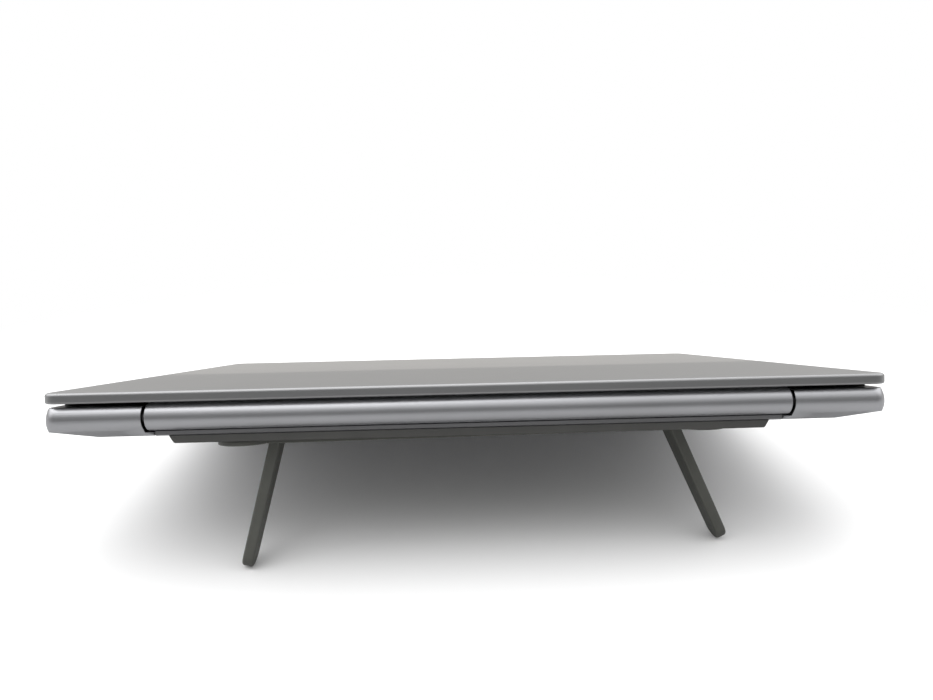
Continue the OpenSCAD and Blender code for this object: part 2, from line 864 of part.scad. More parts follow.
// Half-round corners where the strip's sloping ends meet its foot
module strip_outline() {
    slope = atan2(strip_slope, strip_h);
    foot_half = strip_half_w - strip_slope - strip_end_r * (1 - sin(slope)) / cos(slope);
    for (side = [-1, 1])
        scale([side, 1]) {
            polygon([[0, 0], [strip_half_w, 0],
                     [foot_half + strip_end_r * cos(slope), strip_end_r * (1 - sin(slope)) - strip_h],
                     [foot_half, -strip_h], [0, -strip_h]]);
            translate([foot_half, strip_end_r - strip_h])
                circle(strip_end_r);
        }
}

// Raised rubber strip along the rear edge, with sloping ends
module rear_foot() {
    color([0.25, 0.25, 0.24])
        in_stance()
            translate([0, -strip_back, 0])
                rotate([90, 0, 0])
                    linear_extrude(strip_d)
                        strip_outline();
}

// Keyboard

// Tray under the deck with a guide post for each key
module keyboard_plate() {
    lap = tray_rim - 2;
    color(black_part)
        in_stance() {
            difference() {
                block([-well_half - tray_rim, -well_front - tray_rim, plate_z],
                      [well_half + tray_rim, tray_rim - well_back, ceiling - fit_gap]);
                block([-well_half - lap, -well_front - lap, plate_z + plate_t],
                      [well_half + lap, lap - well_back, ceiling + 1]);
            }
            all_posts();
        }
}

// Widths from the start of a row to each key
function row_start(widths, i, from = 0) = i == 0 ? from : row_start(widths, i - 1, from) + widths[i - 1];
// Middle of a row, counted from the front row up
function row_y(row) = -well_front + well_rim + (row + 0.5) * row_pitch;
fn_y = -well_back - well_rim - fn_pitch / 2;

// Middle of a key that starts a number of units from the left and is that many units wide
module at_key(start, units, y) {
    translate([(start + units / 2 - board_units / 2) * key_pitch, y, 0])
        children();
}

// Key cap with the sockets for its posts
module key_cap(units, depth, posts = 1) {
    w = units * key_pitch - key_gap;
    d = depth - key_gap;
    difference() {
        rounded_plate([-w / 2, w / 2], [-d / 2, d / 2], [cap_low, cap_top], min(key_r, d / 3));
        at_posts(w, posts)
            translate([0, 0, cap_low - 1])
                cylinder(h = socket_top - cap_low + 1, r = post_r + post_clear);
    }
}

module at_posts(w, posts) {
    for (i = [0:posts - 1])
        translate([(i - (posts - 1) / 2) * w / 2, 0, 0])
            children();
}

module key_posts(units, posts = 1) {
    at_posts(units * key_pitch - key_gap, posts)
        translate([0, 0, plate_z + plate_t / 2])
            cylinder(h = post_top - plate_z - plate_t / 2, r = post_r);
}

// A row of keys of the given widths
module key_row(widths, row, from = 0) {
    for (i = [0:len(widths) - 1])
        at_key(row_start(widths, i, from), widths[i], row_y(row))
            key_cap(widths[i], row_pitch);
}

module post_row(widths, row, from = 0) {
    for (i = [0:len(widths) - 1])
        at_key(row_start(widths, i, from), widths[i], row_y(row))
            key_posts(widths[i]);
}

// The arrow keys fill the row's right end: left, up over down, right
module at_arrows() {
    for (i = [0, 2])
        at_key(arrow_start + i, 1, row_y(0))
            children(0);
    for (side = [-1, 1])
        at_key(arrow_start + 1, 1, row_y(0) + side * ((row_pitch - key_gap) / 4 + 0.2))
            children(1);
}

module all_posts() {
    post_row(number_keys, 4);
    post_row(upper_keys, 3);
    post_row(home_keys, 2);
    post_row(lower_keys, 1);
    post_row(left_keys, 0);
    post_row(right_keys, 0, right_start);
    at_key(left_units, space_units, row_y(0))
        key_posts(space_units, 2);
    for (i = [0:board_units - 1])
        at_key(i, 1, fn_y)
            key_posts(1);
    at_arrows() {
        key_posts(1);
        key_posts(1);
    }
}

module keys_function() {
    color(black_part)
        in_stance()
            for (i = [0:board_units - 2])
                at_key(i, 1, fn_y)
                    key_cap(1, fn_pitch);
}

module keys_number() {
    color(black_part)
        in_stance()
            key_row(number_keys, 4);
}

module keys_upper() {
    color(black_part)
        in_stance()
            key_row(upper_keys, 3);
}

module keys_home() {
    color(black_part)
        in_stance()
            key_row(home_keys, 2);
}

module keys_lower() {
    color(black_part)
        in_stance()
            key_row(lower_keys, 1);
}

module keys_bottom() {
    color(black_part)
        in_stance() {
            key_row(left_keys, 0);
            key_row(right_keys, 0, right_start);
        }
}

module space_bar() {
    color(black_part)
        in_stance()
            at_key(left_units, space_units, row_y(0))
                key_cap(space_units, row_pitch, 2);
}

module keys_arrow() {
    color(black_part)
        in_stance()
            at_arrows() {
                key_cap(1, row_pitch);
                key_cap(1, row_pitch / 2 + key_gap / 2 - 0.4);
            }
}

module power_button() {
    color(grey_metal * 0.8)
        in_stance()
            at_key(board_units - 1, 1, fn_y)
                key_cap(1, fn_pitch);
}

module touchpad() {
    color(grey_metal * 0.9)
        in_stance()
            rounded_plate([-pad_w / 2, pad_w / 2], [pad_hinge_y - pad_d, pad_hinge_y],
                          [pad_top - pad_thick, pad_top], pad_r - pad_gap);
}

// Inside the base

module mainboard() {
    color(board_green)
        in_stance()
            difference() {
                union() {
                    block([-board_rear_half, board_y[1] - 1, board_low],
                          [board_rear_half, board_y[0], board_top]);
                    block([-board_front_half, board_y[2], board_low],
                          [board_front_half, board_y[1], board_top]);
                }
                mirrored()
                    for (y = board_boss_y)
                        translate([board_boss_x, y, board_low - 1])
                            cylinder(h = 3 * board_t, r = screw_hole_r);
            }
}

module processor_chips() {
    color([0.15, 0.15, 0.17])
        in_stance()
            for (x = core_x)
                translate([x, core_y, board_top + chip_t / 2])
                    cube([core_size[0], core_size[1], chip_t], center = true);
}

module cooling_plates() {
    color(copper_part)
        in_stance()
            for (x = core_x)
                translate([x, core_y, board_top + chip_t + cold_plate_t / 2])
                    cube([cold_plate_size[0], cold_plate_size[1], cold_plate_t], center = true);
}

// Flat pipe from one point to the next, with a round end at the start
module pipe_run(a, b) {
    run = b - a;
    translate(a)
        rotate([0, 0, atan2(run[1], run[0])]) {
            circle(pipe_w / 2);
            translate([0, -pipe_w / 2])
                square([norm(run), pipe_w]);
        }
}

module heat_pipes() {
    rear_y = (sink_y[0] + sink_y[1]) / 2;
    right = [[core_x[1] + cold_plate_size[0] / 2 - pipe_w, core_y], [board_rear_half - pipe_in, rear_y],
             [fan_x + sink_w / 2 - pipe_in, rear_y]];
    left = [for (i = [2:-1:0]) [-right[i][0], right[i][1]]];
    route = concat(left, right);
    color(copper_part)
        in_stance()
            translate([0, 0, pipe_z])
                linear_extrude(pipe_t) {
                    for (i = [0:len(route) - 2])
                        pipe_run(route[i], route[i + 1]);
                    translate(route[len(route) - 1])
                        circle(pipe_w / 2);
                }
}

// Stack of thin fins between two plates, open front to back
module heat_sink(side) {
    fins = 23;
    fin_t = 0.5;
    top = pipe_z;
    color(copper_part)
        in_stance()
            translate([side * fan_x - sink_w / 2, sink_y[1], 0])
                difference() {
                    block([0, 0, sink_low], [sink_w, sink_y[0] - sink_y[1], top]);
                    for (i = [0:fins - 1])
                        block([fin_t + i * (sink_w - fin_t) / fins, -1, sink_low + fin_t],
                              [(i + 1) * (sink_w - fin_t) / fins, 1 + sink_y[0] - sink_y[1], top - fin_t]);
                }
}

module heat_sink_left() {
    heat_sink(-1);
}

module heat_sink_right() {
    heat_sink(1);
}

// Thickness of the fan housing's floor and roof, and the rotor's clearance to them
fan_plate_t = 0.6;
rotor_clear = 0.5;
// Ring of the floor left round the inlet, and the arm that carries the fan's shaft
inlet_rim = 6;
inlet_arm_w = 9;

// Volute outline, open to the heat sink at the rear
module fan_outline(r, back) {
    circle(r);
    translate([-r, 0])
        square([2 * r, back]);
}

module fan_housing(side) {
    back = sink_y[1] - 0.3 - fan_y;
    inner_r = fan_r + fan_room;
    color(black_part)
        in_stance()
            translate([side * fan_x, fan_y, 0]) {
                difference() {
                    translate([0, 0, fan_low])
                        linear_extrude(fan_top - fan_low)
                            fan_outline(inner_r + fan_wall, back);
                    translate([0, 0, fan_low + fan_plate_t])
                        linear_extrude(fan_top - fan_low - 2 * fan_plate_t)
                            fan_outline(inner_r, back + 1);
                    translate([0, 0, fan_low - 1])
                        linear_extrude(2)
                            difference() {
                                circle(fan_r - inlet_rim);
                                square([inlet_arm_w, 2 * fan_r], center = true);
                            }
                }
                translate([0, 0, fan_low + fan_plate_t / 2])
                    cylinder(h = fan_top - fan_low - fan_plate_t, r = fan_shaft_r);
            }
}

module fan_housing_left() {
    fan_housing(-1);
}

module fan_housing_right() {
    fan_housing(1);
}

module fan_rotor(side) {
    blades = 31;
    blade_t = 0.6;
    blade_lean = 14;
    hub_r = 10;
    low = fan_low + fan_plate_t + rotor_clear;
    high = fan_top - fan_plate_t - rotor_clear;
    color([0.18, 0.18, 0.2])
        in_stance()
            translate([side * fan_x, fan_y, 0])
                difference() {
                    union() {
                        translate([0, 0, low])
                            cylinder(h = high - low, r = hub_r);
                        for (i = [0:blades - 1])
                            rotate([0, 0, i * 360 / blades])
                                translate([hub_r - blade_t, -2, low + blade_t / 2])
                                    rotate([0, 0, side * blade_lean])
                                        cube([fan_r - hub_r, blade_t, high - low - blade_t]);
                    }
                    translate([0, 0, low - 1])
                        cylinder(h = high - low + 2, r = fan_shaft_r + fan_shaft_clear);
                }
}

module fan_rotor_left() {
    fan_rotor(-1);
}

module fan_rotor_right() {
    fan_rotor(1);
}

// Four flat cells side by side in a thin frame
module battery_pack() {
    pitch = 2 * battery_half / cells;
    low = cover_t + inner_clear;
    color([0.13, 0.13, 0.14])
        in_stance() {
            for (i = [0:cells - 1])
                translate([(i - (cells - 1) / 2) * pitch, (battery_y[0] + battery_y[1]) / 2, low])
                    soft_slab(pitch - cell_gap, battery_y[1] - battery_y[0] - 2 * cell_gap, cell_t,
                              cell_r, cell_edge_r, cell_edge_r);
            block([-battery_half, battery_y[0], low + cell_edge_r],
                  [battery_half, battery_y[1], low + cell_edge_r + battery_frame_t]);
        }
}

// Card of the given plan on the board; its socket lies at the end that slot points to
module board_card(corner, size, slot) {
    low = board_top + card_lift;
    far = [corner[0] + size[0], corner[1] + size[1]];
    block([corner[0], corner[1], low], [far[0], far[1], low + card_t]);
    if (slot == "rear")
        block([corner[0], far[1], board_top], [far[0], far[1] + socket_d, board_top + socket_h]);
    else
        block([far[0], corner[1], board_top], [far[0] + socket_d, far[1], board_top + socket_h]);
}

// Chip on a card, centred at the given place
module card_chip(x, y, size) {
    translate([x, y, board_top + card_lift + card_t + card_chip_t / 2])
        cube([size[0], size[1], card_chip_t], center = true);
}

module ssd_module() {
    mid_y = ssd_corner[1] + ssd_size[1] / 2;
    chip = [18, 14];
    post = 2;
    color([0.1, 0.28, 0.2])
        in_stance() {
            board_card(ssd_corner, ssd_size, "side");
            for (i = [1, 2])
                card_chip(ssd_corner[0] + i * ssd_size[0] / 4, mid_y, chip);
            translate([ssd_corner[0] + post, mid_y, board_top])
                cylinder(h = card_lift, r = post);
        }
}

module memory_modules() {
    chips = 3;
    pitch = memory_size[1] / chips;
    color([0.1, 0.3, 0.2])
        in_stance()
            for (x = memory_x) {
                board_card([x, memory_y], memory_size, "rear");
                for (i = [0:chips - 1])
                    card_chip(x + memory_size[0] / 2, memory_y + (i + 0.5) * pitch, [18, 10]);
            }
}

module wireless_card() {
    color([0.1, 0.25, 0.3])
        in_stance() {
            board_card(wireless_corner, wireless_size, "rear");
            card_chip(wireless_corner[0] + wireless_size[0] / 2,
                      wireless_corner[1] + wireless_size[1] / 2, [14, 16]);
        }
}

// Speaker box with a recess over the slots in the cover; side is 1 on the right
module speaker(side) {
    low = cover_t + inner_clear;
    recess = [sound_w / 2, sound_slots * sound_pitch / 2];
    recess_h = 0.6;
    color([0.12, 0.12, 0.13])
        in_stance()
            mirror([side < 0 ? 1 : 0, 0, 0])
                difference() {
                    rounded_plate([speaker_out - speaker_w, speaker_out], speaker_y,
                                  [low, low + speaker_t], 2);
                    translate([speaker_out - speaker_w / 2, speaker_mid_y, low])
                        rounded_plate([-recess[0], recess[0]], [-recess[1], recess[1]],
                                      [-1, recess_h], 3);
                }
}

module speaker_left() {
    speaker(-1);
}

module speaker_right() {
    speaker(1);
}

// Ports

usb_c_size = [9, 3.3];
usb_c_depth = 8.6;
hdmi_size = [15.2, 5.4];
hdmi_depth = 11;
usb_a_size = [14.2, 5.5];
usb_a_depth = 14;
card_size = [13, 2.6];
card_depth = 16;
shell_r = 0.6;
port_in = 0.4;
jack_nose_r = 2.7;
jack_nose_len = 4;
jack_body_half = 3.4;
jack_z = port_floor + jack_nose_r;

// Metal shell with a mouth in the side and a contact tongue; side is 1 on the right
module port_shell(side, y, size, depth, r, tongue) {
    shell = 0.3;
    mouth = laptop_w / 2 - port_in;
    translate([0, y, port_floor + size[1] / 2])
        mirror([side < 0 ? 1 : 0, 0, 0])
            rotate([90, 0, 90]) {
                difference() {
                    translate([0, 0, mouth - depth])
                        linear_extrude(depth)
                            rounded_outline([-size[0] / 2, size[0] / 2], [-size[1] / 2, size[1] / 2], r);
                    translate([0, 0, mouth - depth + 1])
                        linear_extrude(depth)
                            rounded_outline([shell - size[0] / 2, size[0] / 2 - shell],
                                            [shell - size[1] / 2, size[1] / 2 - shell], r - shell);
                }
                translate([0, tongue[2], mouth - depth / 2])
                    cube([tongue[0], tongue[1], depth - 1.2], center = true);
            }
}

module usb_c_ports() {
    color(steel_part)
        in_stance()
            for (y = usb_c_y)
                port_shell(-1, y, usb_c_size, usb_c_depth, usb_c_size[1] / 2 - 0.05, [6.6, 0.7, 0]);
}

module hdmi_port() {
    color(steel_part)
        in_stance()
            port_shell(-1, hdmi_y, hdmi_size, hdmi_depth, 1, [10, 0.9, 0.2]);
}

module usb_a_port() {
    color(steel_part)
        in_stance()
            port_shell(1, usb_a_y, usb_a_size, usb_a_depth, shell_r, [11, 1.8, 0.8]);
}

module audio_jack() {
    mouth = laptop_w / 2 - 0.3;
    color(black_part)
        in_stance()
            translate([0, jack_y, jack_z])
                difference() {
                    union() {
                        rod_x(mouth - jack_nose_len, mouth, jack_nose_r);
                        block([mouth - jack_len - 1, -jack_body_half, port_floor - jack_z],
                              [case_half - 0.1, jack_body_half, jack_nose_r]);
                    }
                    rod_x(mouth - jack_len, mouth + 1, jack_r);
                }
}

module card_slot() {
    color(steel_part)
        in_stance()
            port_shell(1, card_y, card_size, card_depth, shell_r, [10, 0.4, -0.6]);
}

// Stand

stand_end_r = 12;
// How far each leg's pin passes into the plate, and how much longer its hole is
pin_seat = 4;
pin_end = 0.8;
pin_spare = 0.2;
pad_inset = 1.5;
pad_corner_r = 8;

// Plate outline seen from below: straight rear edge, a round lobe at each end
module stand_outline() {
    rounded_outline([-lobe_x - stand_end_r, lobe_x + stand_end_r], [-stand_d, 0], stand_end_r);
}

// Slots in which the folded legs lie, open above for the legs' corners to swing
module leg_pocket() {
    block([leg_x - leg_len - pocket_end, leg_rear_y - leg_top_d - pocket_gap, -stand_low - 1],
          [leg_x + pocket_out, leg_rear_y + 0.15, 1]);
}

module stand_plate() {
    color(dark_metal)
        on_stand()
            difference() {
                union() {
                    translate([0, 0, -stand_low])
                        linear_extrude(stand_low - pad_t)
                            stand_outline();
                    for (x = [-lobe_x, lobe_x])
                        translate([x, lobe_out - lobe_r, -stand_low])
                            cylinder(h = lobe_t, r = lobe_r);
                }
                mirrored()
                    leg_pocket();
                mirrored()
                    translate([leg_x, -leg_wall - leg_top_d - pin_seat - pin_spare, leg_z])
                        rotate([-90, 0, 0])
                            cylinder(h = leg_top_d + leg_wall + pin_seat - pin_end + 2 * pin_spare,
                                     r = leg_pin_r + 0.01);
            }
}

module adhesive_pad() {
    color(black_part)
        on_stand()
            difference() {
                rounded_plate([-lobe_x, lobe_x], [pad_inset - stand_d, -pad_inset / 2], [-pad_t, 0],
                              pad_corner_r);
                mirrored()
                    leg_pocket();
            }
}

module leg_pins() {
    color(steel_part)
        on_stand()
            mirrored()
                translate([leg_x, -leg_wall - leg_top_d - pin_seat, leg_z])
                    rotate([-90, 0, 0])
                        cylinder(h = leg_top_d + pin_seat + leg_wall - pin_end, r = leg_pin_r);
}

// Round pad with a softened rim, flat across the leg's thickness
module soft_disc(r) {
    rotate([0, 90, 0])
        translate([0, 0, -leg_t / 2])
            rotate_extrude($fn = 40)
                intersection() {
                    rounded_outline([-r, r], [0, leg_t], leg_edge_r, $fn = 24);
                    square([r, leg_t]);
                }
}

// Leg turned out by its splay, deep at the pivot and narrower at its round tip; side is 1 on the right
module leg(side, splay) {
    color(dark_metal)
        on_stand()
            translate([side * leg_x, leg_mid_y, leg_z])
                rotate([0, 180 - side * splay, 0])
                    difference() {
                        hull() {
                            for (end = [-1, 1])
                                translate([0, end * (leg_top_d - leg_t) / 2, 0])
                                    soft_disc(leg_t / 2);
                            translate([0, 0, leg_len - tip_round])
                                soft_disc(tip_round);
                        }
                        translate([0, -leg_top_d, 0])
                            rotate([-90, 0, 0])
                                cylinder(h = 2 * leg_top_d, r = leg_pin_r + leg_pin_clear);
                    }
}

module leg_left() {
    leg(-1, splay_left);
}

module leg_right() {
    leg(1, splay_right);
}

lid_cover();
display_panel();
display_bezel();
display_seal();
camera_module();
hinge_barrel();
hinge_shafts();
hinge_bracket_left();
hinge_bracket_right();
top_case();
keyboard_plate();
bottom_cover();
bottom_screws();
front_feet();
rear_foot();
keys_function();
keys_number();
keys_upper();
keys_home();
keys_lower();
keys_bottom();
space_bar();
keys_arrow();
power_button();
touchpad();
mainboard();
processor_chips();
cooling_plates();
heat_pipes();
heat_sink_left();
heat_sink_right();
fan_housing_left();
fan_housing_right();
fan_rotor_left();
fan_rotor_right();
battery_pack();
ssd_module();
memory_modules();
wireless_card();
speaker_left();
speaker_right();
usb_c_ports();
hdmi_port();
usb_a_port();
audio_jack();
card_slot();
adhesive_pad();
stand_plate();
leg_pins();
leg_left();
leg_right();
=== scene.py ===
"""Dresses a closed laptop on a stick-on stand: finishes, key legends, stage and camera."""
import json
import math

import bpy
import bmesh
from bpy.props import FloatProperty, FloatVectorProperty, PointerProperty
from mathutils import Matrix, Vector


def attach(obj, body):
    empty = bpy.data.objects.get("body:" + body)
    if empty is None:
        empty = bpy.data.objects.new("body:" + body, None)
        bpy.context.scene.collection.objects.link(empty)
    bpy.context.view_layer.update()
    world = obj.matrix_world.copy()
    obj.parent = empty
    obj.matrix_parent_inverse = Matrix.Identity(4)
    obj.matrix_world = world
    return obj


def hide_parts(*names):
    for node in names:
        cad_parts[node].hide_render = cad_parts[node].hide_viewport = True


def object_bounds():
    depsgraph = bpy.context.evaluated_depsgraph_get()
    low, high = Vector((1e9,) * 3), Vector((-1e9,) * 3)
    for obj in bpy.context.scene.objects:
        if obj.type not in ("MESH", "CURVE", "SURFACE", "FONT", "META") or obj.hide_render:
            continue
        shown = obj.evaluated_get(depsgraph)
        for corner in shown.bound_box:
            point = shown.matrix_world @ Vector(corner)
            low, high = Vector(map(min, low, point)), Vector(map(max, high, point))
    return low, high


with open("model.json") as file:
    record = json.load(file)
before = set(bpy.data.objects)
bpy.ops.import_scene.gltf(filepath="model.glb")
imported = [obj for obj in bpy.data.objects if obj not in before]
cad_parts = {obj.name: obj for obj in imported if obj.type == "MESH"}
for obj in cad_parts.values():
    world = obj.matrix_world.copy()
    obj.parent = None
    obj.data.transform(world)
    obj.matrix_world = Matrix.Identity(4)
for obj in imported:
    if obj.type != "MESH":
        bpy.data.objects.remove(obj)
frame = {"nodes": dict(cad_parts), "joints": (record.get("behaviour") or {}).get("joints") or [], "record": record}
CAD_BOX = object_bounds()

bl_info = {
    "name": "Laptop Finisher",
    "version": (1, 0, 0),
    "blender": (4, 5, 0),
    "location": "View3D > Sidebar > Laptop",
    "description": "Finishes, key legends, stage and camera for a closed laptop on its stand",
    "category": "Object",
}

MM = 0.001
WHITE = (1.0, 1.0, 1.0)

# ---------------------------------------------------------------- laptop frame
# The CAD model stands tipped on its legs. In the laptop's own frame X points to the
# user's right, Y from the front edge to the hinge edge and Z up from the underside.
# Its sizes are in millimetres: how far the hinge axis lies in from the rear edge and over
# the underside, the notch for the barrel, the case's width and its corners' radius in plan.
HINGE_SETBACK = 6.05
HINGE_HEIGHT = 8.1
HINGE_AXIS_PLACE = Vector((0.0, -HINGE_SETBACK, HINGE_HEIGHT))
NOTCH_HALF_WIDTH = 136.65
CASE_HALF_WIDTH = round(CAD_BOX[1][0] / MM, 3)
CORNER_RADIUS = 7.0
JOINTS = {joint["name"]: joint for joint in frame["joints"]}


def laptop_matrix():
    """World matrix of the laptop frame, in millimetres."""
    press = Vector(JOINTS["space_bar_press"]["axis"]).normalized()
    up = -press
    right = Vector((1.0, 0.0, 0.0))
    back = up.cross(right).normalized()
    turn = Matrix((right, back, up)).transposed()
    hinge = Vector(JOINTS["lid_hinge"]["pos_m"])
    origin = hinge - turn @ (HINGE_AXIS_PLACE * MM)
    return Matrix.Translation(origin) @ turn.to_4x4() @ Matrix.Scale(MM, 4)


LAPTOP = laptop_matrix()


def at(x, y, z):
    """World place of a point given in laptop millimetres."""
    return LAPTOP @ Vector((x, y, z))


def body_of(node):
    """Name of the body that carries a node."""
    bodies = frame["record"]["behaviour"]["bodies"]
    return next(name for name, nodes in bodies.items() if node in nodes)


# ---------------------------------------------------------------- settings
def colour_setting(name, description, default):
    """Setting that a user picks as a colour."""
    return FloatVectorProperty(name=name, description=description, subtype="COLOR",
                               size=3, min=0.0, max=1.0, default=default)


def share_setting(name, description, default):
    """Setting from 0 to 1."""
    return FloatProperty(name=name, description=description, subtype="FACTOR",
                         min=0.0, max=1.0, default=default)


def level_setting(name, description, default):
    """Strength of a light, where 1 shows a white thing as white."""
    return FloatProperty(name=name, description=description, min=0.0, max=10.0,
                         default=default)


def length_setting(name, description, default, low, high):
    """Setting of a size in metres."""
    return FloatProperty(name=name, description=description, subtype="DISTANCE",
                         unit="LENGTH", min=low, max=high, default=default)


class LaptopMetalSettings(bpy.types.PropertyGroup):
    """Anodised aluminium of the lid, the barrel and the case"""

    lid_colour: colour_setting("Lid", "Colour of the lid", (0.325, 0.327, 0.331))
    case_colour: colour_setting("Case", "Colour of the barrel and the case",
                                (0.44, 0.443, 0.46))
    cover_colour: colour_setting("Cover", "Colour of the bottom cover", (0.3, 0.3, 0.31))
    lid_roughness: share_setting("Lid roughness", "Roughness of the lid", 0.42)
    case_roughness: share_setting("Case roughness", "Roughness of the barrel and the case", 0.37)
    lid_gloss: share_setting("Lid gloss", "Weight of the clear film on the lid", 0.25)
    edge_radius: length_setting("Edge radius", "How far edges are softened in shading",
                                0.0005, 0.0, 0.003)


class LaptopKeyboardSettings(bpy.types.PropertyGroup):
    """Keys, their legends and the touchpad"""

    key_colour: colour_setting("Keys", "Colour of the key caps", (0.02, 0.02, 0.022))
    legend_colour: colour_setting("Legends", "Colour of the letters on the keys", (0.6, 0.6, 0.6))
    legend_height: length_setting("Legend height", "Height of a letter on a key",
                                  0.0042, 0.002, 0.008)
    touchpad_colour: colour_setting("Touchpad", "Colour of the touchpad", (0.2, 0.2, 0.21))


class LaptopStandSettings(bpy.types.PropertyGroup):
    """Stand, legs and rubber feet"""

    paint_colour: colour_setting("Paint", "Colour of the stand and its legs",
                                 (0.096, 0.098, 0.086))
    paint_roughness: share_setting("Paint roughness", "Roughness of the painted metal", 0.5)
    paint_edge: length_setting("Paint edge", "How far the paint's edges are softened",
                               0.0008, 0.0, 0.003)
    # Painted highlight: the paint is made lighter along its edges
    paint_edge_highlight: share_setting("Paint edge highlight", "How much painted highlight lightens the paint's edges", 0.7)
    rubber_colour: colour_setting("Rubber", "Colour of the feet and the rear strip",
                                  (0.078, 0.078, 0.074))


class LaptopStageSettings(bpy.types.PropertyGroup):
    """Floor, room light and lamp"""

    lamp_power: FloatProperty(name="Lamp power", description="Power of the overhead lamp",
                              unit="POWER", min=0.0, max=200.0, default=17.5)
    lamp_place: FloatVectorProperty(name="Lamp place",
                                    description="Where the overhead lamp hangs",
                                    subtype="TRANSLATION", unit="LENGTH", size=3,
                                    default=(0.2, -0.23, 1.5))
    lamp_width: length_setting("Lamp width", "Size of the lamp from side to side", 2.8, 0.1, 6.0)
    lamp_depth: length_setting("Lamp depth", "Size of the lamp from front to back", 1.7, 0.1, 6.0)
    room_top: level_setting("Room overhead", "Light that comes from straight above", 1.3)
    room_far: level_setting("Room beyond", "Light from low down beyond the laptop", 0.6)
    room_near: level_setting("Room before", "Light from low down before the hinge edge", 0.17)
    room_right: level_setting("Room right", "Light from half way up at the user's right", 2.5)
    room_left: level_setting("Room left", "Light from half way up at the user's left", 2.2)
    floor_bounce: share_setting("Floor bounce", "How much light the floor sends back up", 0.5)
    sheet_end: FloatProperty(name="Sheet end",
                             description="Where the bright part of the floor ends",
                             unit="LENGTH", default=-0.246)


# Scene property of each settings group
SETTINGS = {
    "laptop_metal": LaptopMetalSettings,
    "laptop_keyboard": LaptopKeyboardSettings,
    "laptop_stand": LaptopStandSettings,
    "laptop_stage": LaptopStageSettings,
}


# ---------------------------------------------------------------- node helpers
# Sockets of a mix: its factor, then the two sides and the result for colours and for levels
MIX_FACTOR = 0
COLOUR_FIRST = 6
COLOUR_SECOND = 7
COLOUR_RESULT = 2
LEVEL_FIRST = 2
LEVEL_SECOND = 3
LEVEL_RESULT = 0
BEVEL_SAMPLES = 6
# Levels between which nearly all of a noise lies
NOISE_LOW = 0.3
NOISE_HIGH = 0.7


class Nodes:
    """Short-hand for building the node tree of a material or of the world."""

    def __init__(self, owner, output):
        owner.use_nodes = True
        self.tree = owner.node_tree
        self.tree.nodes.clear()
        self.output = self.add(output)
        self.coordinates = self.add("ShaderNodeTexCoord")

    def add(self, kind, **settings):
        """New node with its settings."""
        node = self.tree.nodes.new(kind)
        for key, value in settings.items():
            setattr(node, key, value)
        return node

    def link(self, source, out, target, into):
        """Join a node's output to another node's input."""
        self.tree.links.new(source.outputs[out], target.inputs[into])

    def noise(self, scale, detail=3.0, rough=0.5):
        """Noise over the object's own coordinates."""
        node = self.add("ShaderNodeTexNoise")
        node.inputs["Scale"].default_value = scale
        node.inputs["Detail"].default_value = detail
        node.inputs["Roughness"].default_value = rough
        self.link(self.coordinates, "Object", node, "Vector")
        return node

    def ramp(self, source, out, stops):
        """Colour ramp between two (position, colour) stops."""
        node = self.add("ShaderNodeValToRGB")
        for element, (place, colour) in zip(node.color_ramp.elements, stops):
            element.position = place
            element.color = (*colour, 1.0)
        self.link(source, out, node, "Fac")
        return node

    def range(self, source, out, low, high, from_low=NOISE_LOW, from_high=NOISE_HIGH,
              smooth=False):
        """Value carried from one range to another, held at both ends."""
        node = self.add("ShaderNodeMapRange")
        if smooth:
            node.interpolation_type = "SMOOTHSTEP"
        node.inputs["From Min"].default_value = from_low
        node.inputs["From Max"].default_value = from_high
        node.inputs["To Min"].default_value = low
        node.inputs["To Max"].default_value = high
        self.link(source, out, node, "Value")
        return node

    def maths(self, operation, *values):
        """Arithmetic on some values, each a number or a (node, output) pair."""
        node = self.add("ShaderNodeMath", operation=operation)
        for index, value in enumerate(values):
            if isinstance(value, tuple):
                self.link(*value, node, index)
            else:
                node.inputs[index].default_value = value
        return node

    def blend(self, kind, factor, first, second):
        """Colour mix; each of the three is a constant or a (node, output) pair."""
        node = self.add("ShaderNodeMix", data_type="RGBA", blend_type=kind)
        sides = ((MIX_FACTOR, factor), (COLOUR_FIRST, first), (COLOUR_SECOND, second))
        for index, value in sides:
            if isinstance(value, tuple) and isinstance(value[0], bpy.types.Node):
                self.link(*value, node, index)
            elif index == MIX_FACTOR:
                node.inputs[index].default_value = value
            else:
                node.inputs[index].default_value = (*value, 1.0)
        return node, COLOUR_RESULT

    def blend_levels(self, factor, first, second):
        """Level that goes from a (node, output) pair's own to a constant one."""
        node = self.add("ShaderNodeMix")
        self.link(*factor, node, MIX_FACTOR)
        self.link(*first, node, LEVEL_FIRST)
        node.inputs[LEVEL_SECOND].default_value = second
        return node, LEVEL_RESULT

    def blend_shaders(self, factor, first, second):
        """Shader mix; each of the three is a (node, output) pair."""
        node = self.add("ShaderNodeMixShader")
        for index, value in enumerate((factor, first, second)):
            self.link(*value, node, index)
        return node, "Shader"

    def glow(self, kind, colour, strength=1.0):
        """Emission or background of one colour."""
        node = self.add(kind)
        node.inputs["Color"].default_value = (*colour, 1.0)
        node.inputs["Strength"].default_value = strength
        return node

    def bevel(self, radius):
        """Normal softened round the edges."""
        node = self.add("ShaderNodeBevel", samples=BEVEL_SAMPLES)
        node.inputs["Radius"].default_value = radius
        return node


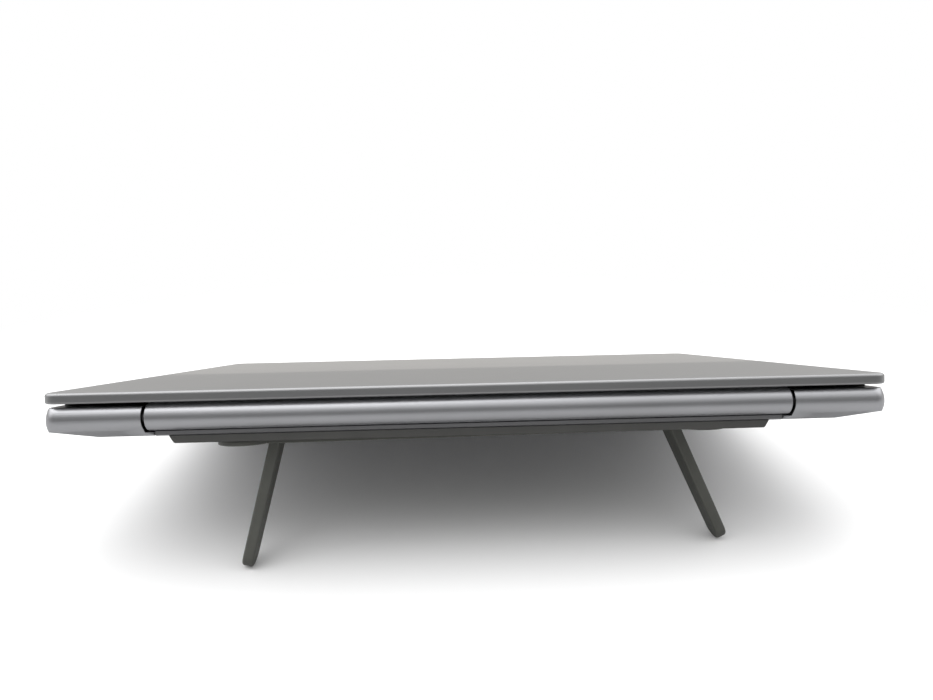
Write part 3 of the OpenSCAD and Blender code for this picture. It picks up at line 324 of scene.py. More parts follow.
class Finish(Nodes):
    """Node tree of one material, built round one shader."""

    def __init__(self, name):
        self.material = bpy.data.materials.new(name)
        super().__init__(self.material, "ShaderNodeOutputMaterial")
        self.shader = self.add("ShaderNodeBsdfPrincipled")
        self.link(self.shader, "BSDF", self.output, "Surface")

    def bump(self, source, out, strength, distance, edge_radius=0.0):
        """Fine relief over softened edges."""
        node = self.add("ShaderNodeBump")
        node.inputs["Strength"].default_value = strength
        node.inputs["Distance"].default_value = distance
        self.link(source, out, node, "Height")
        if edge_radius > 0.0:
            self.link(self.bevel(edge_radius), "Normal", node, "Normal")
        self.link(node, "Normal", self.shader, "Normal")

    def set(self, **sockets):
        """Constant values straight on the shader's sockets, named with underscores."""
        for key, value in sockets.items():
            self.shader.inputs[key.replace("_", " ")].default_value = value


def tint(colour, factor):
    """Colour made lighter or darker."""
    return tuple(min(1.0, channel * factor) for channel in colour)


def clouding(colour, spread):
    """Ramp stops from a slightly darker to a slightly lighter colour."""
    return [(NOISE_LOW, tint(colour, 1 - spread)), (NOISE_HIGH, tint(colour, 1 + spread))]


# ---------------------------------------------------------------- finishes
# Blasted metal: how metallic it is, the scales of its clouding and grain, how dark the grain
# goes, its relief and how its roughness varies
METAL_SHARE = 0.9
METAL_CLOUD_SCALE = 28.0
METAL_GRAIN_SCALE = 5200.0
METAL_GRAIN = 0.05
METAL_RELIEF = 0.12
METAL_RELIEF_DEPTH = 0.00004
METAL_ROUGHNESS_SPREAD = 0.04
# Painted shade in the gaps at the barrel's ends: how near the notch's ends it lies, how squarely the faces it
# darkens look sideways, its colour
GAP_SHADE_REACH = 0.0016
GAP_SHADE_FACING = 0.9
GAP_SHADE_COLOUR = (0.004, 0.004, 0.004)
COAT_ROUGHNESS = 0.03
COAT_IOR = 1.5
# The lid's edges look this much softer than the other ones
LID_EDGE_SHARE = 1.6
# Paint and plastic: the same for theirs, and how bright and how wide the painted edge highlights are
PLAIN_CLOUD_SCALE = 60.0
PLAIN_GRAIN_SCALE = 2600.0
PLAIN_RELIEF_DEPTH = 0.00006
PLAIN_ROUGHNESS_SPREAD = 0.06
LEAST_ROUGHNESS = 0.05
EDGE_HIGHLIGHT_BRIGHTNESS = 2.2
EDGE_HIGHLIGHT_FULL = 0.8
EDGE_HIGHLIGHT_NONE = 0.98


def painted_gap_shade_mask(nodes):
    """Marks the barrel's ends and the walls that face them, where the gap's shade is painted in black."""
    place = nodes.add("ShaderNodeSeparateXYZ")
    nodes.link(nodes.coordinates, "Object", place, "Vector")
    normal = nodes.add("ShaderNodeSeparateXYZ")
    nodes.link(nodes.add("ShaderNodeNewGeometry"), "True Normal", normal, "Vector")
    across = nodes.maths("ABSOLUTE", (place, "X"))
    offset = nodes.maths("SUBTRACT", (across, "Value"), NOTCH_HALF_WIDTH * MM)
    near = nodes.maths("COMPARE", (offset, "Value"), 0.0, GAP_SHADE_REACH)
    facing = nodes.maths("ABSOLUTE", (normal, "X"))
    sideways = nodes.maths("GREATER_THAN", (facing, "Value"), GAP_SHADE_FACING)
    return nodes.maths("MULTIPLY", (near, "Value"), (sideways, "Value"))


def blasted_metal(name, colour, rough, cloud=0.03, coat=0.0, edge=0.0, painted_gap_shade=False):
    """Bead-blasted, anodised aluminium: very fine grain under a faint clouding."""
    nodes = Finish(name)
    clouds = nodes.noise(METAL_CLOUD_SCALE, 4.0)
    fine = nodes.noise(METAL_GRAIN_SCALE, 2.0, 0.6)
    base = nodes.ramp(clouds, "Fac", clouding(colour, cloud))
    speck = nodes.ramp(fine, "Fac", [(NOISE_LOW, (1 - METAL_GRAIN,) * 3), (NOISE_HIGH, WHITE)])
    output, socket = nodes.blend("MULTIPLY", 1.0, (base, "Color"), (speck, "Color"))
    # Painted shade: the faces at the barrel's ends and the walls that face them are coloured black and lose their
    # metal, standing in for the shade in the gap between them
    if painted_gap_shade:
        mask = painted_gap_shade_mask(nodes)
        output, socket = nodes.blend("MIX", (mask, "Value"), (output, socket), GAP_SHADE_COLOUR)
        plain = nodes.maths("SUBTRACT", 1.0, (mask, "Value"))
        metal = nodes.maths("MULTIPLY", (plain, "Value"), METAL_SHARE)
        nodes.link(metal, "Value", nodes.shader, "Metallic")
    else:
        nodes.set(Metallic=METAL_SHARE)
    nodes.link(output, socket, nodes.shader, "Base Color")
    roughness = nodes.range(fine, "Fac", rough - METAL_ROUGHNESS_SPREAD,
                            rough + METAL_ROUGHNESS_SPREAD)
    nodes.link(roughness, "Result", nodes.shader, "Roughness")
    nodes.bump(fine, "Fac", METAL_RELIEF, METAL_RELIEF_DEPTH, edge)
    if coat > 0.0:
        nodes.set(Coat_Weight=coat, Coat_Roughness=COAT_ROUGHNESS, Coat_IOR=COAT_IOR)
    return nodes.material


def plain_finish(name, colour, rough, bump=0.2, metallic=0.0, spread=0.08, edge=0.0, edge_highlight=0.0):
    """Moulded or painted surface with a fine texture and slight colour variation."""
    nodes = Finish(name)
    fine = nodes.noise(PLAIN_GRAIN_SCALE, rough=0.55)
    broad = nodes.noise(PLAIN_CLOUD_SCALE)
    base = nodes.ramp(broad, "Fac", clouding(colour, spread))
    output, socket = base, "Color"
    if edge_highlight > 0.0:
        # Painted highlight: the paint is made lighter where the softened normal leaves the flat one
        turned = nodes.add("ShaderNodeVectorMath", operation="DOT_PRODUCT")
        nodes.link(nodes.bevel(edge), "Normal", turned, 0)
        nodes.link(nodes.add("ShaderNodeNewGeometry"), "True Normal", turned, 1)
        highlighted_edges = nodes.range(turned, "Value", edge_highlight, 0.0, EDGE_HIGHLIGHT_FULL, EDGE_HIGHLIGHT_NONE)
        output, socket = nodes.blend("MIX", (highlighted_edges, "Result"), (base, "Color"),
                                     tint(colour, EDGE_HIGHLIGHT_BRIGHTNESS))
    nodes.link(output, socket, nodes.shader, "Base Color")
    roughness = nodes.range(fine, "Fac", max(LEAST_ROUGHNESS, rough - PLAIN_ROUGHNESS_SPREAD),
                            min(1.0, rough + PLAIN_ROUGHNESS_SPREAD))
    nodes.link(roughness, "Result", nodes.shader, "Roughness")
    nodes.bump(fine, "Fac", bump, PLAIN_RELIEF_DEPTH, edge)
    nodes.set(Metallic=metallic)
    return nodes.material


def dress(finishes):
    """Put each finish on the nodes whose record row names its slot."""
    for row in frame["record"]["subparts"]:
        material = finishes.get(row["material_slot"])
        if material is None:
            continue
        mesh = frame["nodes"][row["node"]].data
        if not mesh.materials:
            mesh.materials.append(material)
        for index in range(len(mesh.materials)):
            mesh.materials[index] = material


# ---------------------------------------------------------------- case shell
# Radii of the side's upper and lower edge, height where the lower one starts, height of the
# deck, and the roll of the rear edge: its radius, the height under which it goes on straight
# and the slope that it has there
SIDE_TOP_RADIUS = 1.8
SIDE_LOW_RADIUS = 2.2
SIDE_LOW_CENTRE = 5.1
DECK_HEIGHT = 12.85
ROLL_RADIUS = HINGE_SETBACK
ROLL_LOW = 4.21
ROLL_LOW_SLOPE = 0.88
# Wedges that round the rear corners: their lowest and highest level, how far they reach past
# the case, the least radius of the corner, and their facets along the turn and in height
CORNER_LOW = -2.0
CORNER_HIGH = 16.0
CORNER_SPARE = 1.0
CORNER_LEAST = 0.3
CORNER_TURNS = 24
CORNER_LEVELS = 72
# Between the side and the rear edge the corner bulges like a wide arc round its middle height;
# the two shares of the turn say where the side's edge has ended and where the rear one starts
BULGE_RADIUS = 11.0
BULGE_MIDDLE = 7.3
BULGE_START = 0.3
BULGE_END = 0.45
# Edges that turn further than this, in degrees, stay sharp
SHARP_ANGLE = 28.0
# How much a large face sets the normals at its corners, where 50 is neutral
AREA_WEIGHT = 100


def arc_depth(radius, offset):
    """How far an arc has fallen back at a distance from its crown."""
    return radius - math.sqrt(max(0.0, radius * radius - offset * offset))


def side_depth(z):
    """How far the case's side stands back from its widest at a height."""
    if z > DECK_HEIGHT - SIDE_TOP_RADIUS:
        return arc_depth(SIDE_TOP_RADIUS, z - DECK_HEIGHT + SIDE_TOP_RADIUS)
    return arc_depth(SIDE_LOW_RADIUS, max(0.0, SIDE_LOW_CENTRE - z))


def rear_depth(z):
    """How far the case's rolled rear edge stands back from its rearmost at a height."""
    if z > ROLL_LOW:
        return arc_depth(ROLL_RADIUS, z - HINGE_AXIS_PLACE.z)
    lowest = arc_depth(ROLL_RADIUS, ROLL_LOW - HINGE_AXIS_PLACE.z)
    return lowest + ROLL_LOW_SLOPE * (ROLL_LOW - z)


def eased(share):
    """Share from 0 to 1 eased at both ends."""
    share = min(1.0, max(0.0, share))
    return share * share * (3 - 2 * share)


def corner_point(side, turn, z):
    """Point of a rear corner, where the side's edge turns smoothly into the rear one."""
    level = min(z, DECK_HEIGHT)
    part = turn / (math.pi / 2)
    side_share = eased(1 - part / BULGE_START)
    rear_share = eased((part - BULGE_END) / (1 - BULGE_END))
    bulge = (level - BULGE_MIDDLE) ** 2 / (2 * BULGE_RADIUS)
    depth = (side_depth(level) * side_share + rear_depth(level) * rear_share
             + bulge * (1 - side_share - rear_share))
    radius = max(CORNER_LEAST, CORNER_RADIUS - depth)
    return at(side * (CASE_HALF_WIDTH - CORNER_RADIUS + radius * math.cos(turn)),
              radius * math.sin(turn) - CORNER_RADIUS, z)


def corner_wedges():
    """Two upright wedges, one at each side, with what lies outside the rounded rear corners."""
    work = bmesh.new()
    inner = CASE_HALF_WIDTH - CORNER_RADIUS
    outer = CASE_HALF_WIDTH + CORNER_SPARE
    turns = [math.pi / 2 * turn / CORNER_TURNS for turn in range(CORNER_TURNS + 1)]
    for side in (-1, 1):
        rings = []
        for step in range(CORNER_LEVELS + 1):
            z = CORNER_LOW + (CORNER_HIGH - CORNER_LOW) * step / CORNER_LEVELS
            ring = [corner_point(side, turn, z) for turn in turns]
            ring += [at(side * inner, CORNER_SPARE, z), at(side * outer, CORNER_SPARE, z),
                     at(side * outer, -CORNER_RADIUS, z)]
            rings.append([work.verts.new(point) for point in ring])
        work.faces.new(rings[0])
        work.faces.new(rings[-1])
        for low, high in zip(rings, rings[1:]):
            for index in range(len(low)):
                work.faces.new((low[index - 1], low[index], high[index], high[index - 1]))
    bmesh.ops.recalc_face_normals(work, faces=work.faces)
    mesh = bpy.data.meshes.new("corner_wedges")
    work.to_mesh(mesh)
    work.free()
    return mesh


def applied(piece):
    """Bake a piece's modifiers into its mesh, and give the mesh."""
    bpy.context.view_layer.update()
    shown = piece.evaluated_get(bpy.context.evaluated_depsgraph_get())
    mesh = bpy.data.meshes.new_from_object(shown)
    old = piece.data
    piece.modifiers.clear()
    piece.data = mesh
    bpy.data.meshes.remove(old)
    return mesh


def make_case_shell(material):
    """The top case with its two rear corners rounded like the front ones."""
    piece = bpy.data.objects.new("case_shell", frame["nodes"]["top_case"].data.copy())
    cutter = bpy.data.objects.new("corner_wedges", corner_wedges())
    for thing in (piece, cutter):
        bpy.context.scene.collection.objects.link(thing)
    cut = piece.modifiers.new("corners", "BOOLEAN")
    cut.operation = "DIFFERENCE"
    cut.solver = "EXACT"
    cut.object = cutter
    mesh = applied(piece)
    mesh.shade_smooth()
    mesh.set_sharp_from_angle(angle=math.radians(SHARP_ANGLE))
    # Normals weighted by area keep the flat faces flat beside their rounded edges
    weigh = piece.modifiers.new("normals", "WEIGHTED_NORMAL")
    weigh.weight = AREA_WEIGHT
    weigh.keep_sharp = True
    mesh = applied(piece)
    mesh.name = "case_shell"
    mesh.materials.clear()
    mesh.materials.append(material)
    wedges = cutter.data
    bpy.data.objects.remove(cutter)
    bpy.data.meshes.remove(wedges)
    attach(piece, body_of("top_case"))
    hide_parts("top_case")


# ---------------------------------------------------------------- key legends
# Words on the keys of each row, from left to right
LEGENDS = {
    "keys_number": ("`", "1", "2", "3", "4", "5", "6", "7", "8", "9", "0", "-", "=", "delete"),
    "keys_upper": ("tab", "Q", "W", "E", "R", "T", "Y", "U", "I", "O", "P", "[", "]", "\\"),
    "keys_home": ("caps", "A", "S", "D", "F", "G", "H", "J", "K", "L", ";", "'", "enter"),
    "keys_lower": ("shift", "Z", "X", "C", "V", "B", "N", "M", ",", ".", "/", "shift"),
    "keys_bottom": ("fn", "ctrl", "menu", "alt", "alt", "ctrl"),
    "keys_function": ("esc", "F1", "F2", "F3", "F4", "F5", "F6", "F7", "F8", "F9", "F10", "F11",
                      "F12", "ins"),
}
# Height of the print over a key, and how much smaller a word is than a single letter
LEGEND_LIFT = 0.03
SMALL_LEGEND = 0.62
# Corners closer than this, in metres, are one corner
WELD_DISTANCE = 1e-6


def islands(mesh):
    """Lowest and highest corners, in laptop millimetres, of each loose part of a mesh."""
    inverse = LAPTOP.inverted()
    work = bmesh.new()
    work.from_mesh(mesh)
    bmesh.ops.remove_doubles(work, verts=work.verts, dist=WELD_DISTANCE)
    seen = set()
    boxes = []
    for start in work.verts:
        if start in seen:
            continue
        seen.add(start)
        stack, points = [start], []
        while stack:
            vert = stack.pop()
            points.append(inverse @ vert.co)
            for edge in vert.link_edges:
                other = edge.other_vert(vert)
                if other not in seen:
                    seen.add(other)
                    stack.append(other)
        low = Vector(min(point[axis] for point in points) for axis in range(3))
        high = Vector(max(point[axis] for point in points) for axis in range(3))
        boxes.append((low, high))
    work.free()
    return sorted(boxes, key=lambda box: box[0].x)


def letter_mesh(text, height):
    """Flat mesh of a word, centred on the origin, in millimetres."""
    curve = bpy.data.curves.new("legend", "FONT")
    curve.body = text
    curve.size = height
    curve.align_x = "CENTER"
    curve.align_y = "CENTER"
    holder = bpy.data.objects.new("legend", curve)
    bpy.context.scene.collection.objects.link(holder)
    bpy.context.view_layer.update()
    mesh = bpy.data.meshes.new_from_object(holder)
    bpy.data.objects.remove(holder)
    bpy.data.curves.remove(curve)
    return mesh


def make_legends(node, words, height, material):
    """One mesh with the letters of a row of keys, lying just over the caps."""
    work = bmesh.new()
    for word, (low, high) in zip(words, islands(frame["nodes"][node].data)):
        size = height if len(word) == 1 else height * SMALL_LEGEND
        mesh = letter_mesh(word, size)
        centre = (low + high) / 2
        mesh.transform(LAPTOP @ Matrix.Translation((centre.x, centre.y, high.z + LEGEND_LIFT)))
        work.from_mesh(mesh)
        bpy.data.meshes.remove(mesh)
    mesh = bpy.data.meshes.new("legends_" + node)
    work.to_mesh(mesh)
    work.free()
    mesh.materials.append(material)
    piece = bpy.data.objects.new("legends_" + node, mesh)
    bpy.context.scene.collection.objects.link(piece)
    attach(piece, body_of(node))


# ---------------------------------------------------------------- stage and camera
# The camera, placed in the laptop frame; its turns are yaw, pitch and roll in degrees
# from a level look along the lid
CAMERA_PLACE = (9.2, 267.1, 41.0)
CAMERA_TURN = (-1.54, 1.70, -1.28)
# Focal length, given in pixels of a picture this wide, and the sensor in millimetres
FOCAL_PIXELS = 644.0
PICTURE_WIDTH = 933
SENSOR_WIDTH = 36.0
# Half the side of the floor in metres, and its white
FLOOR_HALF = 6.0
FLOOR_WHITE = 0.93
FLOOR_ROUGHNESS = 0.8
# Faint light of its own that keeps the floor's deepest shadow from going black
STRAY_LIGHT = 0.036
# Distances over which the floor fades to plain white
FADE_START = 0.22
FADE_END = 0.6
# Light that the floor shows to a mirror: the bright sheet, what lies past its end, the place
# where the sheet starts and its slightly warm tint
SHEET_GLOW = 0.9
BEYOND_GLOW = 0.42
SHEET_START = -0.13
SHEET_TINT = (1.0, 0.95, 0.88)
# How softly the sheet ends, and over what distance it fades out towards the laptop
SHEET_EDGE = 0.002
SHEET_FADE = 0.06
# The floor's return light falls off between these places, down to this share of it
BOUNCE_START = 0.15
BOUNCE_END = 0.9
FAR_BOUNCE = 0.4
# Directions between which the room's light changes, as parts of a unit vector: from beyond
# the laptop to before it, from low down to overhead, from the floor up at the two sides, from
# straight beside the laptop to before it, and from the middle to a side
HORIZON_RANGE = (-0.9, 0.5)
OVERHEAD_RANGE = (0.3, 0.95)
RISE_RANGE = (0.05, 0.45)
BESIDE_RANGE = (0.0, 0.5)
SIDE_RANGE = (0.3, 0.85)
# Share of the sides' light that is left at the height of the floor
SIDE_AT_FLOOR = 0.02


def camera_matrix():
    """World matrix of the camera: yaw, pitch and roll from a level look along the lid."""
    yaw, pitch, roll = (math.radians(angle) for angle in CAMERA_TURN)
    level = Matrix(((1, 0, 0), (0, 0, -1), (0, 1, 0)))
    yawed = Matrix(((math.cos(yaw), 0, math.sin(yaw)), (0, 1, 0),
                    (-math.sin(yaw), 0, math.cos(yaw))))
    pitched = Matrix(((1, 0, 0), (0, math.cos(pitch), -math.sin(pitch)),
                      (0, math.sin(pitch), math.cos(pitch))))
    rolled = Matrix(((math.cos(roll), -math.sin(roll), 0),
                     (math.sin(roll), math.cos(roll), 0), (0, 0, 1)))
    view = rolled @ pitched @ yawed @ level
    # The view's rows are right, down and forward, in a frame turned half round from the laptop's
    half_turn = Matrix(((-1, 0, 0), (0, -1, 0), (0, 0, 1)))
    right, down, forward = (half_turn @ Vector(row) for row in view)
    turn = LAPTOP.to_3x3().normalized()
    axes = Matrix((turn @ right, -(turn @ down), -(turn @ forward))).transposed()
    return Matrix.Translation(at(*CAMERA_PLACE)) @ axes.to_4x4()


def make_camera():
    """Camera before the hinge edge, just above the lid."""
    data = bpy.data.cameras.new("camera")
    data.sensor_fit = "HORIZONTAL"
    data.sensor_width = SENSOR_WIDTH
    data.lens = FOCAL_PIXELS * SENSOR_WIDTH / PICTURE_WIDTH
    data.clip_start = 0.01
    data.clip_end = 50.0
    camera = bpy.data.objects.new("camera", data)
    bpy.context.scene.collection.objects.link(camera)
    camera.matrix_world = camera_matrix()
    bpy.context.scene.camera = camera


def floor_finish(stage):
    """Floor's material: what the eye sees of it, what it sends back and what the lid mirrors."""
    nodes = Finish("floor_white")
    nodes.set(Roughness=FLOOR_ROUGHNESS, Specular_IOR_Level=0.0)
    nodes.set(Emission_Color=(*WHITE, 1.0), Emission_Strength=STRAY_LIGHT)
    ray = nodes.add("ShaderNodeLightPath")
    position = nodes.add("ShaderNodeNewGeometry")
    split = nodes.add("ShaderNodeSeparateXYZ")
    nodes.link(position, "Position", split, "Vector")
    # The light that the floor sends back falls off away from the lamp
    bounce = nodes.range(split, "Y", stage.floor_bounce, stage.floor_bounce * FAR_BOUNCE,
                         BOUNCE_START, BOUNCE_END, smooth=True)
    white = nodes.range(ray, "Is Camera Ray", 0.0, FLOOR_WHITE, 0.0, 1.0)
    nodes.link(bounce, "Result", white, "To Min")
    nodes.link(white, "Result", nodes.shader, "Base Color")
    distance = nodes.add("ShaderNodeVectorMath", operation="LENGTH")
    nodes.link(position, "Position", distance, 0)
    fade = nodes.range(distance, "Value", 0.0, 1.0, FADE_START, FADE_END, smooth=True)
    amount = nodes.maths("MULTIPLY", (fade, "Result"), (ray, "Is Camera Ray"))
    plain = nodes.glow("ShaderNodeEmission", WHITE)
    seen = nodes.blend_shaders((amount, "Value"), (nodes.shader, "BSDF"), (plain, "Emission"))
    # In front of the laptop a bright sheet ends in a straight line, which the lid mirrors
    level = nodes.range(split, "Y", BEYOND_GLOW, SHEET_GLOW, stage.sheet_end - SHEET_EDGE,
                        stage.sheet_end + SHEET_EDGE, smooth=True)
    sheet = nodes.glow("ShaderNodeEmission", SHEET_TINT)
    nodes.link(level, "Result", sheet, "Strength")
    front = nodes.range(split, "Y", 1.0, 0.0, SHEET_START - SHEET_FADE, SHEET_START, smooth=True)
    mirrored = nodes.maths("MULTIPLY", (front, "Result"), (ray, "Is Glossy Ray"))
    surface = nodes.blend_shaders((mirrored, "Value"), seen, (sheet, "Emission"))
    # From below the floor isn't seen
    clear = nodes.add("ShaderNodeBsdfTransparent")
    below = nodes.maths("MULTIPLY", (position, "Backfacing"), (ray, "Is Camera Ray"))
    surface = nodes.blend_shaders((below, "Value"), surface, (clear, "BSDF"))
    nodes.link(*surface, nodes.output, "Surface")
    return nodes.material


def make_floor(stage):
    """White floor that shows the shadow near the laptop and fades to plain white further off."""
    mesh = bpy.data.meshes.new("floor")
    half = FLOOR_HALF
    corners = [(-half, -half, 0), (half, -half, 0), (half, half, 0), (-half, half, 0)]
    mesh.from_pydata(corners, [], [(0, 1, 2, 3)])
    floor = bpy.data.objects.new("floor", mesh)
    bpy.context.scene.collection.objects.link(floor)
    mesh.materials.append(floor_finish(stage))


def make_world(stage):
    """Room light: bright overhead and well above the floor at the two sides, dimmer beyond the
    laptop, and dim low down before the hinge edge."""
    world = bpy.data.worlds.new("studio")
    nodes = Nodes(world, "ShaderNodeOutputWorld")
    split = nodes.add("ShaderNodeSeparateXYZ")
    nodes.link(nodes.coordinates, "Generated", split, "Vector")
    horizon = nodes.range(split, "Y", stage.room_far, stage.room_near, *HORIZON_RANGE,
                          smooth=True)
    height = nodes.range(split, "Z", 0.0, 1.0, *OVERHEAD_RANGE, smooth=True)
    level = nodes.blend_levels((height, "Result"), (horizon, "Result"), stage.room_top)
    # The sides' light is strongest well above the floor, and ends before the hinge edge
    rise = nodes.range(split, "Z", SIDE_AT_FLOOR, 1.0, *RISE_RANGE, smooth=True)
    beside = nodes.range(split, "Y", 1.0, 0.0, *BESIDE_RANGE, smooth=True)
    both = nodes.maths("MULTIPLY", (rise, "Result"), (beside, "Result"))
    for hand, strength in ((1, stage.room_right), (-1, stage.room_left)):
        middle, outer = (hand * reach for reach in SIDE_RANGE)
        side = nodes.range(split, "X", 0.0, 1.0, middle, outer, smooth=True)
        share = nodes.maths("MULTIPLY", (side, "Result"), (both, "Value"))
        level = nodes.blend_levels((share, "Value"), level, strength)
    soft = nodes.glow("ShaderNodeBackground", WHITE)
    nodes.link(*level, soft, "Strength")
    white = nodes.glow("ShaderNodeBackground", WHITE)
    ray = nodes.add("ShaderNodeLightPath")
    seen = nodes.blend_shaders((ray, "Is Camera Ray"), (soft, "Background"),
                               (white, "Background"))
    nodes.link(*seen, nodes.output, "Surface")
    bpy.context.scene.world = world


def area_lamp(name, place, aim, size, power):
    """Rectangular lamp turned towards a place."""
    data = bpy.data.lights.new(name, "AREA")
    data.shape = "RECTANGLE"
    data.size, data.size_y = size
    data.energy = power
    lamp = bpy.data.objects.new(name, data)
    bpy.context.scene.collection.objects.link(lamp)
    lamp.location = place
    direction = Vector(aim) - Vector(place)
    lamp.rotation_euler = direction.to_track_quat("-Z", "Y").to_euler()


# ---------------------------------------------------------------- operators
class LAPTOP_OT_lid(bpy.types.Operator):
    """Finish the lid cover, the display, its frame and seal, and the camera"""

    bl_idname = "laptop.lid"
    bl_label = "Lid"

    def execute(self, context):
        metal = context.scene.laptop_metal
        dress({
            "lid_metal": blasted_metal("lid_anodised", metal.lid_colour, metal.lid_roughness,
                                       cloud=0.015, coat=metal.lid_gloss,
                                       edge=metal.edge_radius * LID_EDGE_SHARE),
            "screen_glass": plain_finish("screen_black", (0.006, 0.006, 0.008), 0.12, bump=0.02),
            "black_plastic": plain_finish("black_moulding", (0.018, 0.018, 0.02), 0.5),
            "camera_plastic": plain_finish("camera_black", (0.01, 0.01, 0.013), 0.15, bump=0.03),
            "seal_rubber": plain_finish("seal_black", (0.008, 0.008, 0.008), 0.8),
        })
        return {"FINISHED"}


class LAPTOP_OT_hinge(bpy.types.Operator):
    """Finish the hinge barrel and the steel of the hinges"""

    bl_idname = "laptop.hinge"
    bl_label = "Hinge"

    def execute(self, context):
        metal = context.scene.laptop_metal
        dress({
            # The barrel's ends carry painted shade for the gap beside them
            "barrel_metal": blasted_metal("barrel_anodised", metal.case_colour,
                                          metal.case_roughness, edge=metal.edge_radius,
                                          painted_gap_shade=True),
            "hinge_steel": plain_finish("hinge_steel", (0.42, 0.42, 0.43), 0.35, metallic=1.0),
        })
        return {"FINISHED"}


class LAPTOP_OT_case(bpy.types.Operator):
    """Finish the top case, the bottom cover and its screws"""

    bl_idname = "laptop.case"
    bl_label = "Case"

    def execute(self, context):
        metal = context.scene.laptop_metal
        # The walls that face the barrel's ends carry painted shade for the gap
        case_metal = blasted_metal("case_anodised", metal.case_colour, metal.case_roughness,
                                   edge=metal.edge_radius, painted_gap_shade=True)
        dress({
            "case_metal": case_metal,
            "cover_metal": blasted_metal("cover_anodised", metal.cover_colour,
                                         metal.case_roughness),
            "screw_steel": plain_finish("screw_black", (0.05, 0.05, 0.055), 0.4, metallic=0.9),
        })
        make_case_shell(case_metal)
        return {"FINISHED"}


class LAPTOP_OT_keyboard(bpy.types.Operator):
    """Finish the keyboard plate, the key caps, the power button and the touchpad"""

    bl_idname = "laptop.keyboard"
    bl_label = "Keyboard"

    def execute(self, context):
        keyboard = context.scene.laptop_keyboard
        dress({
            "keyboard_steel": plain_finish("keyboard_plate_black", (0.012, 0.012, 0.014), 0.55),
            "key_plastic": plain_finish("key_cap_black", keyboard.key_colour, 0.48),
            "button_metal": blasted_metal("button_anodised", (0.2, 0.2, 0.21), 0.38),
            "touchpad_glass": plain_finish("touchpad_satin", keyboard.touchpad_colour, 0.32,
                                           bump=0.05, spread=0.015),
        })
        return {"FINISHED"}


class LAPTOP_OT_legends(bpy.types.Operator):
    """Print the letters and numbers on the key caps"""

    bl_idname = "laptop.legends"
    bl_label = "Key legends"

    def execute(self, context):
        keyboard = context.scene.laptop_keyboard
        ink = plain_finish("legend_ink", keyboard.legend_colour, 0.6, bump=0.0, spread=0.03)
        for node, words in LEGENDS.items():
            make_legends(node, words, keyboard.legend_height / MM, ink)
        return {"FINISHED"}


class LAPTOP_OT_inside(bpy.types.Operator):
    """Finish the board, cooling, fans, battery, speakers and cards"""

    bl_idname = "laptop.inside"
    bl_label = "Inside"

    def execute(self, context):
        dress({
            "circuit_board": plain_finish("board_green", (0.01, 0.1, 0.05), 0.4),
            "chip_black": plain_finish("chip_black", (0.02, 0.02, 0.022), 0.5),
            "copper": plain_finish("copper_drawn", (0.6, 0.28, 0.15), 0.32, metallic=1.0),
            "fin_metal": plain_finish("fin_aluminium", (0.5, 0.5, 0.5), 0.35, metallic=1.0),
            "rotor_plastic": plain_finish("rotor_moulding", (0.03, 0.03, 0.035), 0.45),
            "battery_film": plain_finish("battery_wrap", (0.02, 0.02, 0.022), 0.45),
        })
        return {"FINISHED"}


class LAPTOP_OT_ports(bpy.types.Operator):
    """Finish the port shells and the audio jack"""

    bl_idname = "laptop.ports"
    bl_label = "Ports"

    def execute(self, context):
        dress({"port_steel": plain_finish("port_steel", (0.5, 0.5, 0.51), 0.3, metallic=1.0)})
        return {"FINISHED"}


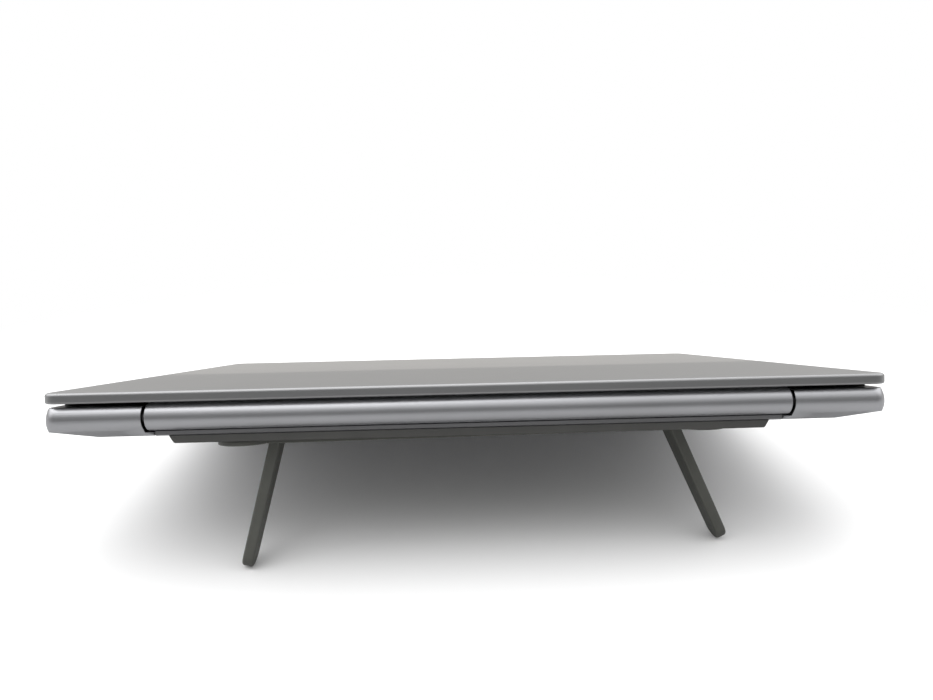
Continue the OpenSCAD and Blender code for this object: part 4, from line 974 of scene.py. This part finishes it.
class LAPTOP_OT_stand(bpy.types.Operator):
    """Finish the stand, its legs and pins, and the rubber feet"""

    bl_idname = "laptop.stand"
    bl_label = "Stand"

    def execute(self, context):
        stand = context.scene.laptop_stand
        dress({
            # The stand's paint gets a painted highlight along its edges
            "stand_metal": plain_finish("stand_paint", stand.paint_colour, stand.paint_roughness,
                                        bump=0.3, edge=stand.paint_edge, edge_highlight=stand.paint_edge_highlight),
            "foot_rubber": plain_finish("foot_rubber_grey", stand.rubber_colour, 0.6,
                                        edge=context.scene.laptop_metal.edge_radius),
            "pin_steel": plain_finish("pin_steel", (0.5, 0.5, 0.5), 0.3, metallic=1.0),
            "adhesive_foam": plain_finish("foam_tape", (0.02, 0.02, 0.02), 0.9),
        })
        return {"FINISHED"}


class LAPTOP_OT_stage(bpy.types.Operator):
    """Build the white floor, the soft light and the camera"""

    bl_idname = "laptop.stage"
    bl_label = "Stage"

    def execute(self, context):
        stage = context.scene.laptop_stage
        make_floor(stage)
        make_world(stage)
        area_lamp("overhead", stage.lamp_place, (0.0, 0.0, 0.0),
                  (stage.lamp_width, stage.lamp_depth), stage.lamp_power)
        make_camera()
        context.scene.view_settings.view_transform = "Standard"
        return {"FINISHED"}


class LAPTOP_PT_panel(bpy.types.Panel):
    """Lists the settings and the pieces in the sidebar"""

    bl_idname = "LAPTOP_PT_panel"
    bl_label = "Laptop"
    bl_space_type = "VIEW_3D"
    bl_region_type = "UI"
    bl_category = "Laptop"

    def draw(self, context):
        for name, group in SETTINGS.items():
            box = self.layout.box()
            for key in group.__annotations__:
                box.prop(getattr(context.scene, name), key)
        for operator in OPERATORS:
            self.layout.operator(operator.bl_idname)


OPERATORS = (LAPTOP_OT_lid, LAPTOP_OT_hinge, LAPTOP_OT_case, LAPTOP_OT_keyboard, LAPTOP_OT_legends,
             LAPTOP_OT_inside, LAPTOP_OT_ports, LAPTOP_OT_stand, LAPTOP_OT_stage)
CLASSES = tuple(SETTINGS.values()) + OPERATORS + (LAPTOP_PT_panel,)


def register():
    """Register the classes and give the scene its settings."""
    for cls in CLASSES:
        bpy.utils.register_class(cls)
    for name, group in SETTINGS.items():
        setattr(bpy.types.Scene, name, PointerProperty(type=group))


def unregister():
    """Take the settings and the classes away again."""
    for name in SETTINGS:
        delattr(bpy.types.Scene, name)
    for cls in reversed(CLASSES):
        bpy.utils.unregister_class(cls)


def main():
    """Build everything in order."""
    register()
    for operator in OPERATORS:
        group, name = operator.bl_idname.split(".")
        getattr(getattr(bpy.ops, group), name)()


if __name__ == "__main__":
    main()
